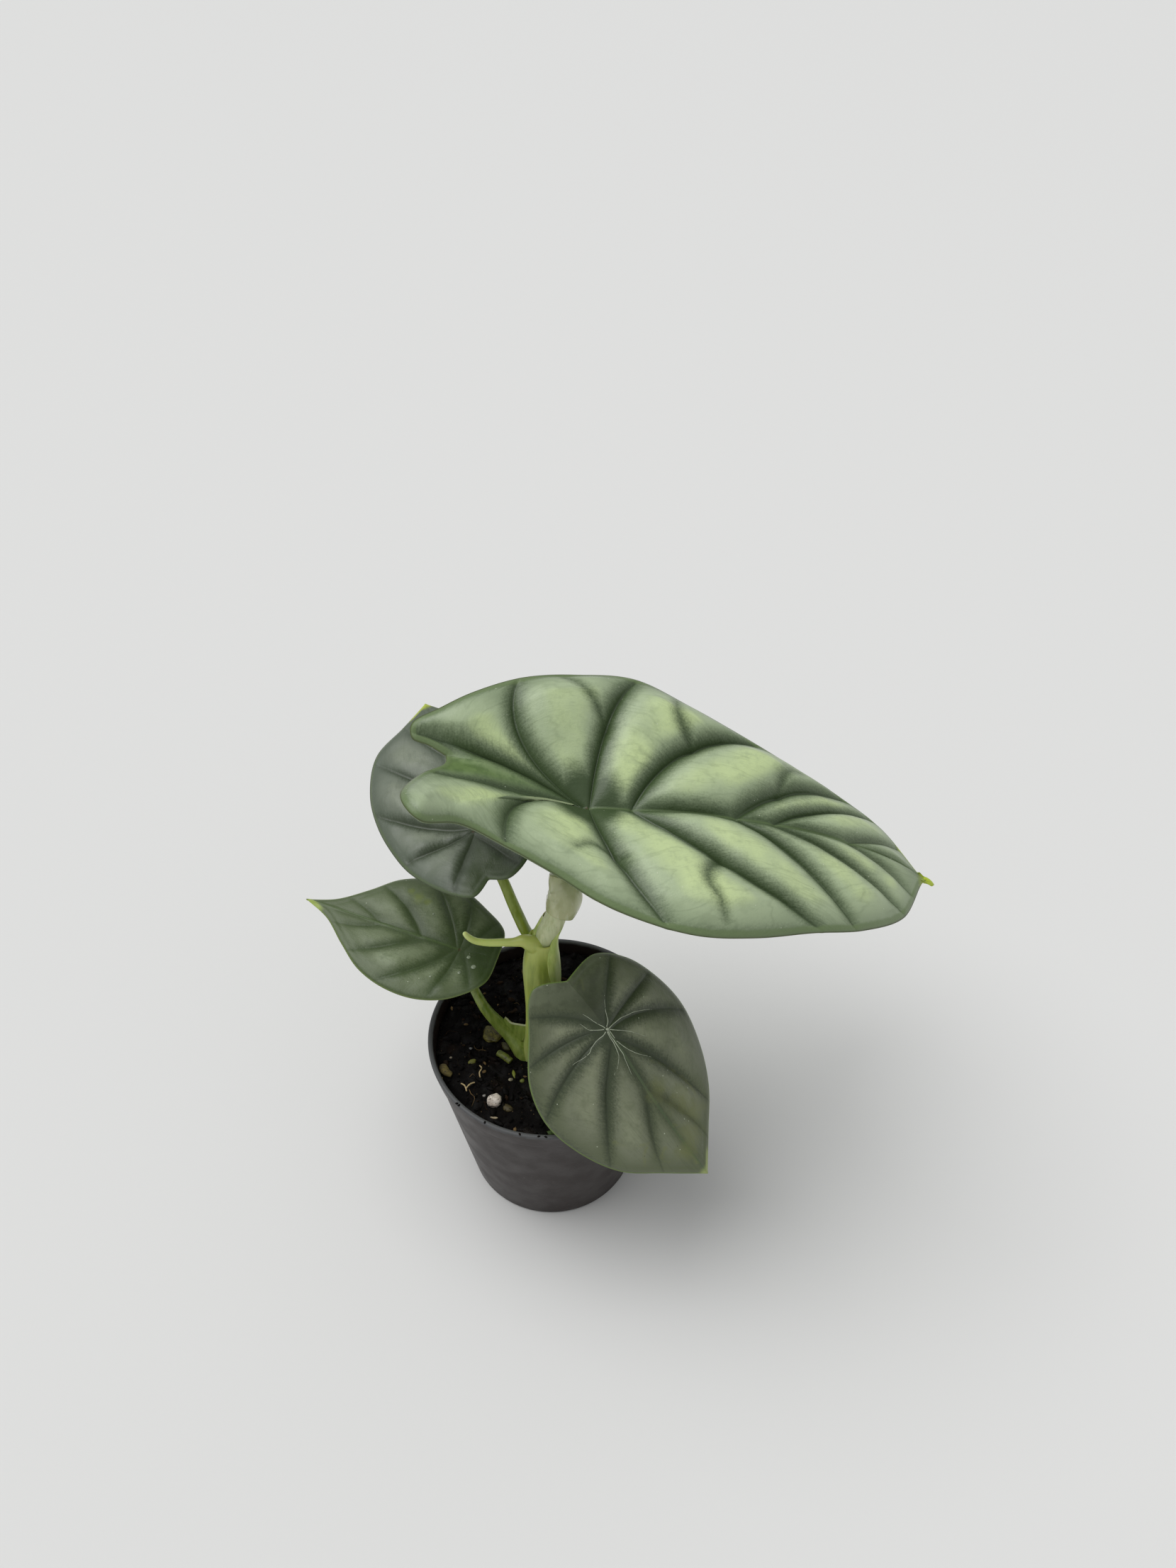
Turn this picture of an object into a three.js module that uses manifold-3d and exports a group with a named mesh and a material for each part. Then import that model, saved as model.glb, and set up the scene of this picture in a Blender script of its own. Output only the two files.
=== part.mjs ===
// A young silver dragon alocasia in a small round nursery pot.
// Millimetres, +Z up. The origin is the middle of the pot's underside, and +X runs to the right
// with the viewer standing on the -Y side.
//
// A leaf is worked out in its own flat frame: the origin is where the stalk meets the blade, x
// runs along the midrib to the tip, y to the leaf's left. Its height over that plane is a formula:
// the lobes lift, the tip droops, the halves fold up from the midrib, the panels between the side
// veins bulge, and the rim turns down.
import * as THREE from 'three';
import Module from 'manifold-3d';

const wasm = await Module();
wasm.setup();

// Pot
const potHeight = 48.6;
const rimRadius = 30;
const baseRadius = 21.4;
const potWall = 0.9;
const collarHeight = 5.4;
const collarProud = 0.35;
const rimBevel = 0.35;
const potFloor = 1.6;
const footPad = 8;
const footRecess = 0.6;
const footRing = 1.8;
const footBevel = 0.5;
const drainRadius = 2.2;
const drainCircle = 13;
const drainCount = 6;
const drainSides = 12;
const potSides = 56;

// Soil: its waves are height, waves along x and along y in radians a millimetre, and a shift
const soilTop = 45.6;
const soilShoulder = 1.2;
const soilWaves = [[0.25, 0.42, 0.37, 0.9], [0.2, 0.95, -0.7, 0], [0.2, 0.63, 0.8, 1.2]];
const soilRings = 11;
const soilSides = 44;

// Loose bits on the soil: middle, half sizes, turn in degrees and roughness
const bits = {
  perlite_crumb: { middle: [-13.6, -18.0, 46.4], size: [1.75, 1.65, 1.5], turn: 20, rough: 0.12 },
  bark_chip: { middle: [-25.0, -8.8, 45.9], size: [2.3, 1.1, 0.8], turn: -62, rough: 0.2 },
  leaf_stub: { middle: [-11.3, -6.0, 46.4], size: [2.3, 0.85, 0.85], turn: -42, rough: 0.03 },
  withered_scale: { middle: [-14.2, 1.0, 46.2], size: [2.6, 2.2, 0.9], turn: -60, rough: 0.15 },
};
const bitSides = 9;
const bitRings = 6;
const lumps = [5, 4, 3];

// Gaps and blades
const seatGap = 0.3;
const bladeThickness = 0.7;
const veinThickening = 0.35;
const midribThickening = 0.9;
const lobeEase = 8;
const rimTurn = 0.5;
const rimBand = 0.1;
const quiltFill = 0.11;
const quiltSpan = 22;
const quiltSquareness = 2.4;
const quiltFoot = 2.5;
const quiltEdge = 6;
const ridgeRise = 0.5;
const ridgeReach = 3;
const ridgeNotch = 0.33;
const rowCrowding = 1.15;
const columnsPerPanel = 4;
const columnsPerPlace = 2;
const clearReach = 12;
const clearHeadroom = 6;
const clearDepth = 1.1;

// Stalks: points down the middle of each, and its radius at those points
const stalkSides = 10;
const bigStalk = {
  path: [[-2.0, -2.4, 73], [-1.4, -1.8, 80], [-0.4, -1.1, 85.5], [1.8, 0, 90], [2.6, 1.8, 94.6],
    [2.9, 4.3, 98.8], [5.4, 10, 104.3], [9.2, 15.2, 108.6]],
  radius: [1.9, 2.1, 2.2, 2.15, 1.7, 1.6, 1.9, 2.2],
  steps: 26,
};
const backStalk = {
  path: [[-4.6, 1, 38], [-4.2, 4, 50], [-3.8, 5.8, 62], [-4.1, 5.6, 75], [-5.7, 4.6, 82], [-7.8, 6.2, 87.7],
    [-10, 8.5, 93.5], [-13.2, 12.6, 98], [-16.4, 17.2, 101]],
  radius: [1.5, 1.5, 1.4, 1.35, 1.35, 1.3, 1.2, 1.1, 1.2],
  steps: 24,
};
const leftStalk = {
  path: [[-4.9, -5.2, 37], [-6.0, -4.6, 43], [-7.5, -3.4, 47], [-9.6, -1.7, 49.6], [-12.3, -0.9, 53],
    [-15.3, -0.6, 58.5], [-17.7, 0.9, 64], [-20.0, 4.6, 68], [-21.3, 8.0, 70.6]],
  radius: [2.0, 2.3, 2.2, 1.95, 1.6, 1.3, 1.1, 1.0, 1.0],
  steps: 20,
};
const frontStalk = {
  path: [[-0.6, -7.0, 37], [0.2, -7.6, 45], [2.4, -8.6, 53], [6.4, -10.2, 61.5], [10.2, -12.6, 67.5],
    [12.8, -16.0, 70.4]],
  radius: [2.0, 2.2, 1.7, 1.3, 1.15, 1.25],
  steps: 14,
};

// The thin skin that stands between the left stalk and the crown
const stalkWing = {
  corners: [[-11.8, -1.0, 53], [-10.7, -1.0, 55.2], [-5.6, -3.5, 55.6], [-6.7, -3.8, 50], [-9.3, -2.3, 49.6]],
  back: [0.44, 0.89, -0.12],
  thickness: 0.7,
};

// Crown: the buried foot and the sheath that clasps the big stalk. Each ring is height, centre x,
// centre y, radius along x, radius along y.
const crownRings = [
  [33, -2.9, -3.6, 1.6, 1.6], [36, -2.9, -3.6, 3.2, 3.2], [41, -2.9, -3.7, 4.4, 4.2],
  [46, -2.8, -3.8, 4.2, 4.1], [53, -2.6, -3.6, 3.5, 3.7], [61, -2.2, -3.2, 3.5, 3.7],
  [68, -1.8, -2.9, 4.0, 4.0], [74.5, -1.8, -2.6, 4.2, 4.0], [79, -1.9, -2.2, 3.8, 3.7],
  [83, -1.7, -1.7, 3.25, 3.3], [84.6, -1.4, -1.5, 3.0, 3.1],
];
const crownSides = 18;
const crownMouthTilt = 0.28;
const horn = {
  path: [[-1.4, -2.2, 81.6], [-3.5, -2.8, 84], [-5.5, -3, 85.4], [-7.7, -3, 85.1], [-10.5, -3, 85.1],
    [-13.6, -3, 85.2], [-16.2, -3, 85.9], [-17.7, -3, 87.3], [-18.6, -3, 88.9]],
  radius: [2.3, 2.3, 1.65, 1.05, 0.93, 0.86, 0.78, 0.72, 0.5],
  steps: 20,
};
const hornSides = 12;

// Back sheath: an open scroll that stands round the back of the crown and narrows to the big
// stalk. Each row is height, centre x, centre y, radius, then the angles where it starts and ends.
const sheathRows = [
  [64, -1.9, -3.0, 4.6, -8, 62], [68, -1.7, -2.9, 4.75, -24, 70], [73, -1.5, -2.5, 4.8, -38, 80],
  [78, -1.2, -2.0, 4.85, -50, 100], [82, -0.8, -1.3, 4.9, -50, 140], [85, -0.2, -0.8, 4.4, -40, 185],
  [87.5, 0.5, -0.4, 3.7, -22, 190], [89.6, 1.5, 0, 3.2, -8, 185],
];
const sheathWall = 0.7;
const sheathColumns = 12;

// Sleeve: the pale skin that wraps the big stalk, loose on its right-hand side
const sleeve = {
  path: [[2.5, 0, 90.2], [3.2, 0.9, 92], [3.8, 1.9, 94], [3.6, 2.9, 96], [3, 3.8, 97.6], [3, 4.5, 99]],
  radius: [3.1, 3.75, 3.95, 3.5, 2.7, 2.35],
  steps: 10,
};
const sleeveSides = 16;

// Leaves. seat: where the stalk meets the blade. heading, pitch, roll: the way the midrib points,
// in degrees. lift: rise of the lobes. droop over reach: fall of the tip. fold and unfold: how far
// the halves stand up from the midrib, and how that changes along it. curl over halfWidth: fall of
// the margins. starts: where each side vein leaves the midrib. A side has its outline from the
// notch between the lobes round to the tip, and its veins, each with the point it bends at and
// its place along the outline.
const leaves = {
  leaf_big: {
    seat: [9.3, 15.9, 108], heading: 0, pitch: -6, roll: 10,
    lift: 0.24, droop: 23, reach: 90, fold: 0.35, unfold: -0.007, twist: -0.0003, curl: 3, halfWidth: 40,
    rows: 10,
    starts: [-1.6, -0.6, 0.6, 10, 34, 43, 62],
    left: {
      outline: [[-31.8, 8.2], [-35.5, 10.2], [-39.8, 12.6], [-34, 17.5], [-25.5, 22.6], [-14.5, 27.8],
        [-1.5, 31.7], [12, 34], [25, 30.2], [38, 25.4], [51, 20.4], [64, 15.8], [76, 10.3], [84, -0.8],
        [87.5, -1.5]],
      veins: [[-16, 8.3, 1.9], [-22, 12.5, 4.85], [3, 24, 7.05], [20, 20, 9.45], [50, 14, 11.3],
        [58, 9, 11.8], [72, 4, 12.4]],
    },
    right: {
      outline: [[-31.8, 8.2], [-32.2, 3.5], [-36.6, -5], [-39.8, -17.5], [-35.5, -24], [-28, -20],
        [-20, -21.6], [-8.5, -25.8], [5, -32.5], [20, -35], [34.5, -32.5], [49, -27.5], [63, -22.5],
        [76, -14.5], [84, -2.4], [87.5, -1.5]],
      veins: [[-17, 1.6, 1.75], [-20.5, 3, 6.15], [4.5, -18, 8.75], [26, -15, 11.2], [48, -8, 11.85],
        [60, -10, 12.85], [72, -7, 13.5]],
    },
  },
  leaf_back: {
    seat: [-16.5, 17.5, 100], heading: 107.5, pitch: 9, roll: -15,
    lift: 0.25, droop: 2, reach: 48, fold: 0.06, unfold: 0, twist: 0, curl: 1.5, halfWidth: 22,
    rows: 7,
    starts: [-1, 0, 0.6, 11, 24],
    left: {
      outline: [[-15.2, 0.3], [-18.6, 4.6], [-14.8, 9.8], [-6.7, 15.4], [1, 18.5], [11.5, 20.5], [22, 20],
        [32.4, 15.8], [38.4, 7.4], [44, 0.3]],
      veins: [[-9, 5, 1.8], [-2, 10, 3.65], [5, 12, 5.4], [19, 9, 6.8], [32, 5, 8]],
    },
    right: {
      outline: [[-15.2, 0.3], [-17.3, -4.2], [-14.3, -9.2], [-7.5, -14.4], [1, -18.2], [11.5, -20.5],
        [22, -19.5], [30.5, -15], [37.3, -5.5], [44, 0.3]],
      veins: [[-9, -4.5, 1.7], [-2, -10, 3.65], [5, -12, 5.4], [19, -9, 6.8], [32, -5, 8]],
    },
  },
  leaf_left: {
    seat: [-21.2, 8.3, 70], heading: 161, pitch: 8, roll: -7,
    lift: 0.23, droop: 0.5, reach: 42, fold: 0.08, unfold: 0.0006, twist: 0, curl: 1.5, halfWidth: 20,
    rows: 7,
    starts: [-1, 0, 0.6, 9.5, 20],
    left: {
      outline: [[-9.5, -0.5], [-9, 7], [-3, 13], [4.5, 16], [12.5, 16], [20, 13.5], [26.5, 8.5], [33, 2.8],
        [40, -0.5]],
      veins: [[-4, 5, 1.5], [0, 7, 2.7], [6, 9, 4.4], [17, 7, 5.75], [25, 3.5, 6.85]],
    },
    right: {
      outline: [[-9.5, -0.5], [-8.5, -8], [-2, -13], [5, -16.2], [13, -16.5], [20.5, -13.5], [26.5, -8],
        [33, -3], [40, -0.5]],
      veins: [[-4, -5.5, 1.4], [0, -8, 2.7], [4, -7, 4], [15, -7, 5.6], [25, -3.5, 6.7]],
    },
  },
  leaf_front: {
    seat: [12.8, -16.2, 70], heading: -45, pitch: -43, roll: 11,
    lift: 0.1, droop: 0, reach: 42, fold: -0.3, unfold: 0, twist: 0.0004, curl: 1.5, halfWidth: 22,
    rows: 7,
    starts: [-0.6, 0, 0.5, 2.2, 16.5],
    left: {
      outline: [[-14.5, -2], [-15, 7.5], [-9, 15], [-0.5, 19.5], [9, 21.5], [18.5, 19.5], [27, 15], [34, 8.3],
        [41, 1.5]],
      veins: [[-6, 4, 1.5], [-2, 9, 2.75], [1, 12, 4.2], [12, 8, 6.4], [26, 6, 7.2]],
    },
    right: {
      outline: [[-14.5, -2], [-17, -9.5], [-8, -15.3], [1.5, -20.2], [11, -21.5], [20.5, -19], [29, -14],
        [35, -6.5], [41, 1.5]],
      veins: [[-8, -5, 1.6], [-4, -8, 2.6], [1, -11, 3.9], [12, -9, 5.75], [25, -5, 7]],
    },
  },
};

// Closed bodies, and their joins and cuts

// Merge points that fall together and drop the triangles that this flattens.
function weld(points, triangles) {
  const cellsPerMillimetre = 2000;
  const seen = new Map();
  const kept = [];
  const to = points.map((point) => {
    const key = point.toArray().map((value) => Math.round(value * cellsPerMillimetre)).join(' ');
    if (!seen.has(key)) {
      seen.set(key, kept.length);
      kept.push(point);
    }
    return seen.get(key);
  });
  const faces = triangles
    .map((triangle) => triangle.map((index) => to[index]))
    .filter(([a, b, c]) => a !== b && b !== c && c !== a);
  return { points: kept, triangles: faces, to };
}

function geometryOf({ points, triangles }) {
  const geometry = new THREE.BufferGeometry();
  const places = points.flatMap((point) => point.toArray());
  geometry.setAttribute('position', new THREE.Float32BufferAttribute(places, 3));
  geometry.setIndex(triangles.flat());
  return geometry;
}

function weldGeometry(geometry) {
  const array = geometry.attributes.position.array;
  const index = Array.from(geometry.index.array);
  const triples = (count) => Array.from({ length: count / 3 }, (_, i) => 3 * i);
  const points = triples(array.length).map((first) => new THREE.Vector3().fromArray(array, first));
  const triangles = triples(index.length).map((first) => index.slice(first, first + 3));
  return geometryOf(weld(points, triangles));
}

function solidOf(geometry) {
  const vertProperties = new Float32Array(geometry.attributes.position.array);
  const triVerts = new Uint32Array(geometry.index.array);
  return new wasm.Manifold(new wasm.Mesh({ numProp: 3, vertProperties, triVerts }));
}

function geometryOfSolid(solid) {
  const { vertProperties, triVerts } = solid.getMesh();
  const geometry = new THREE.BufferGeometry();
  geometry.setAttribute('position', new THREE.BufferAttribute(new Float32Array(vertProperties), 3));
  geometry.setIndex(new THREE.BufferAttribute(new Uint32Array(triVerts), 1));
  return geometry;
}

// What is left of a body after the cuts, without the loose scraps that they leave.
function cut(geometry, tools) {
  const rest = tools.reduce((solid, tool) => solid.subtract(solidOf(tool)), solidOf(geometry));
  const pieces = rest.decompose().sort((one, other) => other.volume() - one.volume());
  return geometryOfSolid(pieces[0]);
}

function join(geometries) {
  return geometryOfSolid(geometries.map(solidOf).reduce((solid, other) => solid.add(other)));
}

// A skin through rings of points, closed at both ends by a fan.
function loft(rings) {
  const sides = rings[0].length;
  const points = rings.flat();
  const triangles = [];
  for (let row = 0; row + 1 < rings.length; row += 1) {
    for (let side = 0; side < sides; side += 1) {
      const a = row * sides + side;
      const b = row * sides + ((side + 1) % sides);
      triangles.push([a, b, b + sides], [a, b + sides, a + sides]);
    }
  }
  for (const last of [false, true]) {
    const ring = last ? rings.at(-1) : rings[0];
    const first = last ? (rings.length - 1) * sides : 0;
    const middle = points.length;
    points.push(ring.reduce((sum, point) => sum.add(point), new THREE.Vector3()).divideScalar(sides));
    for (let side = 0; side < sides; side += 1) {
      const a = first + side;
      const b = first + ((side + 1) % sides);
      triangles.push(last ? [middle, a, b] : [middle, b, a]);
    }
  }
  return geometryOf({ points, triangles });
}

// A level ring of points whose heights come from a function of x and y.
function circle(radius, sides, heightAt) {
  return Array.from({ length: sides }, (_, side) => {
    const angle = (side / sides) * 2 * Math.PI;
    const x = radius * Math.cos(angle);
    const y = radius * Math.sin(angle);
    return new THREE.Vector3(x, y, heightAt(x, y));
  });
}

// A round limb along a smooth path, thicker all over by fatten.
function limb({ path, radius, steps }, sides, fatten = 0) {
  const curve = new THREE.CatmullRomCurve3(path.map((point) => new THREE.Vector3(...point)));
  const frames = curve.computeFrenetFrames(steps, false);
  const radii = new THREE.SplineCurve(radius.map((value, index) => new THREE.Vector2(index, value)));
  const rings = [];
  for (let step = 0; step <= steps; step += 1) {
    const along = curve.getUtoTmapping(step / steps);
    const middle = curve.getPoint(along);
    const reach = radii.getPoint(along).y + fatten;
    if (step === 0) middle.addScaledVector(frames.tangents[0], -fatten);
    if (step === steps) middle.addScaledVector(frames.tangents[steps], fatten);
    rings.push(Array.from({ length: sides }, (_, side) => {
      const angle = (side / sides) * 2 * Math.PI;
      return middle.clone()
        .addScaledVector(frames.normals[step], reach * Math.cos(angle))
        .addScaledVector(frames.binormals[step], reach * Math.sin(angle));
    }));
  }
  return loft(rings);
}

// A closed body between two sheets of points that share their triangles.
function slab(over, under, triangles) {
  const edges = new Map();
  for (const [a, b, c] of triangles) {
    for (const [from, to] of [[a, b], [b, c], [c, a]]) edges.set(`${from} ${to}`, [from, to]);
  }
  const count = over.length;
  const faces = [...triangles, ...triangles.map(([a, b, c]) => [a + count, c + count, b + count])];
  for (const [from, to] of edges.values()) {
    if (!edges.has(`${to} ${from}`)) faces.push([to, from, from + count], [to, from + count, to + count]);
  }
  return geometryOf({ points: [...over, ...under], triangles: faces });
}

// The thickness at each point of a welded sheet: the greatest of the points that fell together.
function weldedThickness(sheet, thickness) {
  const depth = sheet.points.map(() => 0);
  sheet.to.forEach((index, original) => {
    depth[index] = Math.max(depth[index], thickness[original]);
  });
  return depth;
}

// An open sheet made a closed body: the underside lies a thickness below each point, square to it.
function thicken(points, triangles, thickness) {
  const sheet = weld(points, triangles);
  const normals = sheet.points.map(() => new THREE.Vector3());
  const depth = weldedThickness(sheet, thickness);
  for (const [a, b, c] of sheet.triangles) {
    const [p, q, r] = [a, b, c].map((index) => sheet.points[index]);
    const normal = q.clone().sub(p).cross(r.clone().sub(p));
    for (const index of [a, b, c]) normals[index].add(normal);
  }
  const under = sheet.points.map((point, index) => point.clone()
    .addScaledVector(normals[index].normalize(), -depth[index]));
  return slab(sheet.points, under, sheet.triangles);
}

// The triangles of a grid of points stored column by column.
function gridTriangles(columns, rows) {
  const triangles = [];
  for (let column = 0; column < columns; column += 1) {
    for (let row = 0; row < rows; row += 1) {
      const a = column * (rows + 1) + row;
      const b = a + rows + 1;
      triangles.push([a, b, b + 1], [a, b + 1, a + 1]);
    }
  }
  return triangles;
}

// Pot: a turned, hollow, tapered cup with a collar, a foot and drain holes

function outerRadius(height) {
  return baseRadius + (rimRadius - collarProud - baseRadius) * (height / potHeight);
}

function innerRadius(height) {
  return outerRadius(height) - potWall;
}

function potGeometry() {
  const collarFoot = potHeight - collarHeight;
  const ringInside = baseRadius - footBevel - footRing;
  const profile = [
    [0, 0],
    [footPad, 0],
    [footPad + footRecess, footRecess],
    [ringInside - footRecess, footRecess],
    [ringInside, 0],
    [baseRadius - footBevel, 0],
    [outerRadius(footBevel), footBevel],
    [outerRadius(collarFoot / 2), collarFoot / 2],
    [outerRadius(collarFoot), collarFoot],
    [outerRadius(collarFoot) + collarProud, collarFoot + collarProud],
    [rimRadius, potHeight - rimBevel],
    [rimRadius - rimBevel, potHeight],
    [innerRadius(potHeight) + rimBevel, potHeight],
    [innerRadius(potHeight), potHeight - rimBevel],
    [innerRadius(collarFoot / 2), collarFoot / 2],
    [innerRadius(potFloor + potWall), potFloor + potWall],
    [innerRadius(potFloor) - potWall, potFloor],
    [0, potFloor],
  ].map(([radius, height]) => new THREE.Vector2(radius, height));
  const cup = weldGeometry(new THREE.LatheGeometry(profile, potSides).rotateX(Math.PI / 2));
  const drains = Array.from({ length: drainCount }, (_, index) => {
    const angle = ((index + 0.5) / drainCount) * 2 * Math.PI;
    const drain = new THREE.CylinderGeometry(drainRadius, drainRadius, 4 * potFloor, drainSides);
    drain.rotateX(Math.PI / 2);
    drain.translate(drainCircle * Math.cos(angle), drainCircle * Math.sin(angle), potFloor);
    return weldGeometry(drain);
  });
  return cut(cup, drains);
}

// Soil, and the bits that lie on it

function soilHeight(x, y) {
  return soilWaves.reduce((sum, [rise, alongX, alongY, shift]) => (
    sum + rise * Math.sin(alongX * x + alongY * y + shift)), soilTop);
}

function soilGeometry() {
  const floor = potFloor + seatGap;
  const shoulder = soilTop - soilShoulder;
  const wall = (height) => innerRadius(height) - seatGap;
  const rings = [
    circle(wall(floor) - potWall, soilSides, () => floor),
    circle(wall(soilTop / 2), soilSides, () => soilTop / 2),
    circle(wall(shoulder), soilSides, () => shoulder),
  ];
  const edge = wall(soilTop) - seatGap;
  for (let ring = soilRings; ring >= 1; ring -= 1) {
    rings.push(circle((edge * ring) / soilRings, soilSides, soilHeight));
  }
  return loft(rings);
}

// A rough nugget: a sphere whose points are pushed in and out by a formula.
function nugget({ middle, size, turn, rough }, fatten = 0) {
  const geometry = weldGeometry(new THREE.SphereGeometry(1, bitSides, bitRings));
  const place = geometry.attributes.position;
  const point = new THREE.Vector3();
  for (let index = 0; index < place.count; index += 1) {
    point.fromBufferAttribute(place, index);
    const wave = Math.sin(lumps[0] * point.x) * Math.cos(lumps[1] * point.y - lumps[2] * point.z);
    point.multiplyScalar(1 + rough * wave);
    point.multiply(new THREE.Vector3(...size).addScalar(fatten));
    point.applyAxisAngle(new THREE.Vector3(0, 0, 1), THREE.MathUtils.degToRad(turn));
    point.add(new THREE.Vector3(...middle));
    place.setXYZ(index, point.x, point.y, point.z);
  }
  return geometry;
}

// Crown: elliptical rings with a mouth that tilts up to the left, and the horn grown on to it

function crownColumn(fatten = 0) {
  const rings = crownRings.map(([height, x, y, alongX, alongY], row) => {
    const tilt = row === crownRings.length - 1 ? crownMouthTilt : 0;
    return Array.from({ length: crownSides }, (_, side) => {
      const angle = (side / crownSides) * 2 * Math.PI;
      const across = (alongX + fatten) * Math.cos(angle);
      return new THREE.Vector3(x + across, y + (alongY + fatten) * Math.sin(angle), height - tilt * across);
    });
  });
  rings[0].forEach((point) => point.setZ(point.z - fatten));
  rings.at(-1).forEach((point) => point.setZ(point.z + fatten));
  return loft(rings);
}

function crownGeometry(stalkRooms) {
  return cut(join([crownColumn(), limb(horn, hornSides)]), stalkRooms);
}

// Back sheath: a grid of points round the rows, made a closed body

function backSheathGeometry(rooms) {
  const points = [];
  for (const [height, x, y, radius, start, end] of sheathRows) {
    for (let column = 0; column <= sheathColumns; column += 1) {
      const angle = THREE.MathUtils.degToRad(start + (end - start) * (column / sheathColumns));
      points.push(new THREE.Vector3(x + radius * Math.cos(angle), y + radius * Math.sin(angle), height));
    }
  }
  const inward = gridTriangles(sheathRows.length - 1, sheathColumns);
  const outward = inward.map(([a, b, c]) => [a, c, b]);
  return cut(thicken(points, outward, points.map(() => sheathWall)), rooms);
}

// Left stalk: a round limb with the thin wing fused to its foot

function leftStalkGeometry(rooms) {
  const half = new THREE.Vector3(...stalkWing.back).setLength(stalkWing.thickness / 2);
  const corners = stalkWing.corners.map((corner) => new THREE.Vector3(...corner));
  const behind = corners.map((corner) => corner.clone().add(half));
  const before = corners.map((corner) => corner.clone().sub(half));
  const fan = corners.slice(2).map((_, index) => [0, index + 1, index + 2]);
  const wing = slab(behind, before, fan);
  return cut(join([limb(leftStalk, stalkSides), wing]), rooms);
}

// Leaves

function splinePoint(outline, place) {
  const curve = new THREE.SplineCurve(outline.map(([x, y]) => new THREE.Vector2(x, y)));
  return curve.getPoint(place / (outline.length - 1));
}

function midline(leaf, x) {
  const [notchX, notchY] = leaf.left.outline[0];
  const [tipX, tipY] = leaf.left.outline.at(-1);
  return x < 0 ? notchY * (x / notchX) : tipY * (x / tipX) ** 4;
}

function form(leaf, x, y) {
  const rib = x < 0 ? (leaf.lift * x * x) / (lobeEase - x) : -leaf.droop * (x / leaf.reach) ** 3;
  const aside = Math.abs(y - midline(leaf, x));
  const fold = (leaf.fold + leaf.unfold * x) * aside;
  return rib + fold + leaf.twist * x * y - leaf.curl * (aside / leaf.halfWidth) ** 4;
}

// The flat curve that leaves the midrib at start, bends at the given point and ends on the outline.
function veinPoint(leaf, side, start, bend, place, v) {
  const from = new THREE.Vector2(start, midline(leaf, start));
  const to = splinePoint(side.outline, place);
  return from.multiplyScalar((1 - v) ** 2).addScaledVector(bend, 2 * v * (1 - v)).addScaledVector(to, v * v);
}

function veinList(leaf, side) {
  const last = side.outline.length - 1;
  const notch = new THREE.Vector2(...side.outline[0]);
  const tip = new THREE.Vector2(...side.outline[last]);
  return [
    { start: notch.x, bend: notch, place: 0 },
    ...side.veins.map(([x, y, place], index) => (
      { start: leaf.starts[index], bend: new THREE.Vector2(x, y), place })),
    { start: tip.x, bend: tip, place: last },
  ];
}

// How high a panel between two side veins bulges at the flat point.
function pillowRise(leaf, flat, first, second, fraction) {
  const width = Math.min(first.distanceTo(second), quiltSpan);
  const pillow = 1 - Math.abs(2 * fraction - 1) ** quiltSquareness;
  const foot = 1 - Math.exp(-Math.abs(flat.y - midline(leaf, flat.x)) / quiltFoot);
  return quiltFill * width * pillow * foot;
}

// The two panels between the lobes make one rounded ridge, level with the first side veins.
function ridgeHeight(leaf, flat, vein, fraction) {
  const aside = Math.abs(flat.y - midline(leaf, flat.x));
  const toVein = flat.distanceTo(vein);
  const share = aside / Math.max(aside + toVein, ridgeReach);
  const slope = Math.max(0, leaf.fold + leaf.unfold * flat.x);
  const bump = ridgeRise * (1 - share ** 2) * Math.min(1, toVein / ridgeReach);
  return (slope * toVein + bump) * Math.min(1, fraction / ridgeNotch);
}

// The flat point and its height at the fraction across panel, and at v from the midrib to the rim.
function panelPoint(leaf, side, before, after, fraction, v) {
  const mix = (a, b) => a + (b - a) * fraction;
  const start = mix(before.start, after.start);
  const bend = before.bend.clone().lerp(after.bend, fraction);
  const flat = veinPoint(leaf, side, start, bend, mix(before.place, after.place), v);
  const first = veinPoint(leaf, side, before.start, before.bend, before.place, v);
  const second = veinPoint(leaf, side, after.start, after.bend, after.place, v);
  const rise = before.place === 0
    ? ridgeHeight(leaf, flat, second, fraction)
    : pillowRise(leaf, flat, first, second, fraction);
  const turn = rimTurn * Math.max(0, (v - 1) / rimBand + 1) ** 2;
  return { flat, height: form(leaf, flat.x, flat.y) + rise * (1 - v ** quiltEdge) - turn };
}

function leafFrame(leaf) {
  const [heading, pitch, roll] = [leaf.heading, leaf.pitch, leaf.roll].map(THREE.MathUtils.degToRad);
  const along = new THREE.Vector3(
    Math.cos(heading) * Math.cos(pitch),
    Math.sin(heading) * Math.cos(pitch),
    Math.sin(pitch),
  );
  const level = new THREE.Vector3(-Math.sin(heading), Math.cos(heading), 0);
  const across = level.clone().multiplyScalar(Math.cos(roll))
    .addScaledVector(along.clone().cross(level), Math.sin(roll));
  return { along, across, up: along.clone().cross(across) };
}

// The columns of a leaf's grid: the panel that each stands in, and the fraction across it. A panel
// has more columns where it covers more of the outline on either side.
function columnList(lists) {
  const columns = [];
  const panels = lists.left.length - 1;
  for (let panel = 0; panel < panels; panel += 1) {
    const spans = Object.values(lists).map((list) => list[panel + 1].place - list[panel].place);
    const count = Math.max(columnsPerPanel, Math.ceil(columnsPerPlace * Math.max(...spans)));
    for (let step = 0; step < count; step += 1) columns.push({ panel, fraction: step / count });
  }
  columns.push({ panel: panels - 1, fraction: 1 });
  return columns;
}

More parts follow.
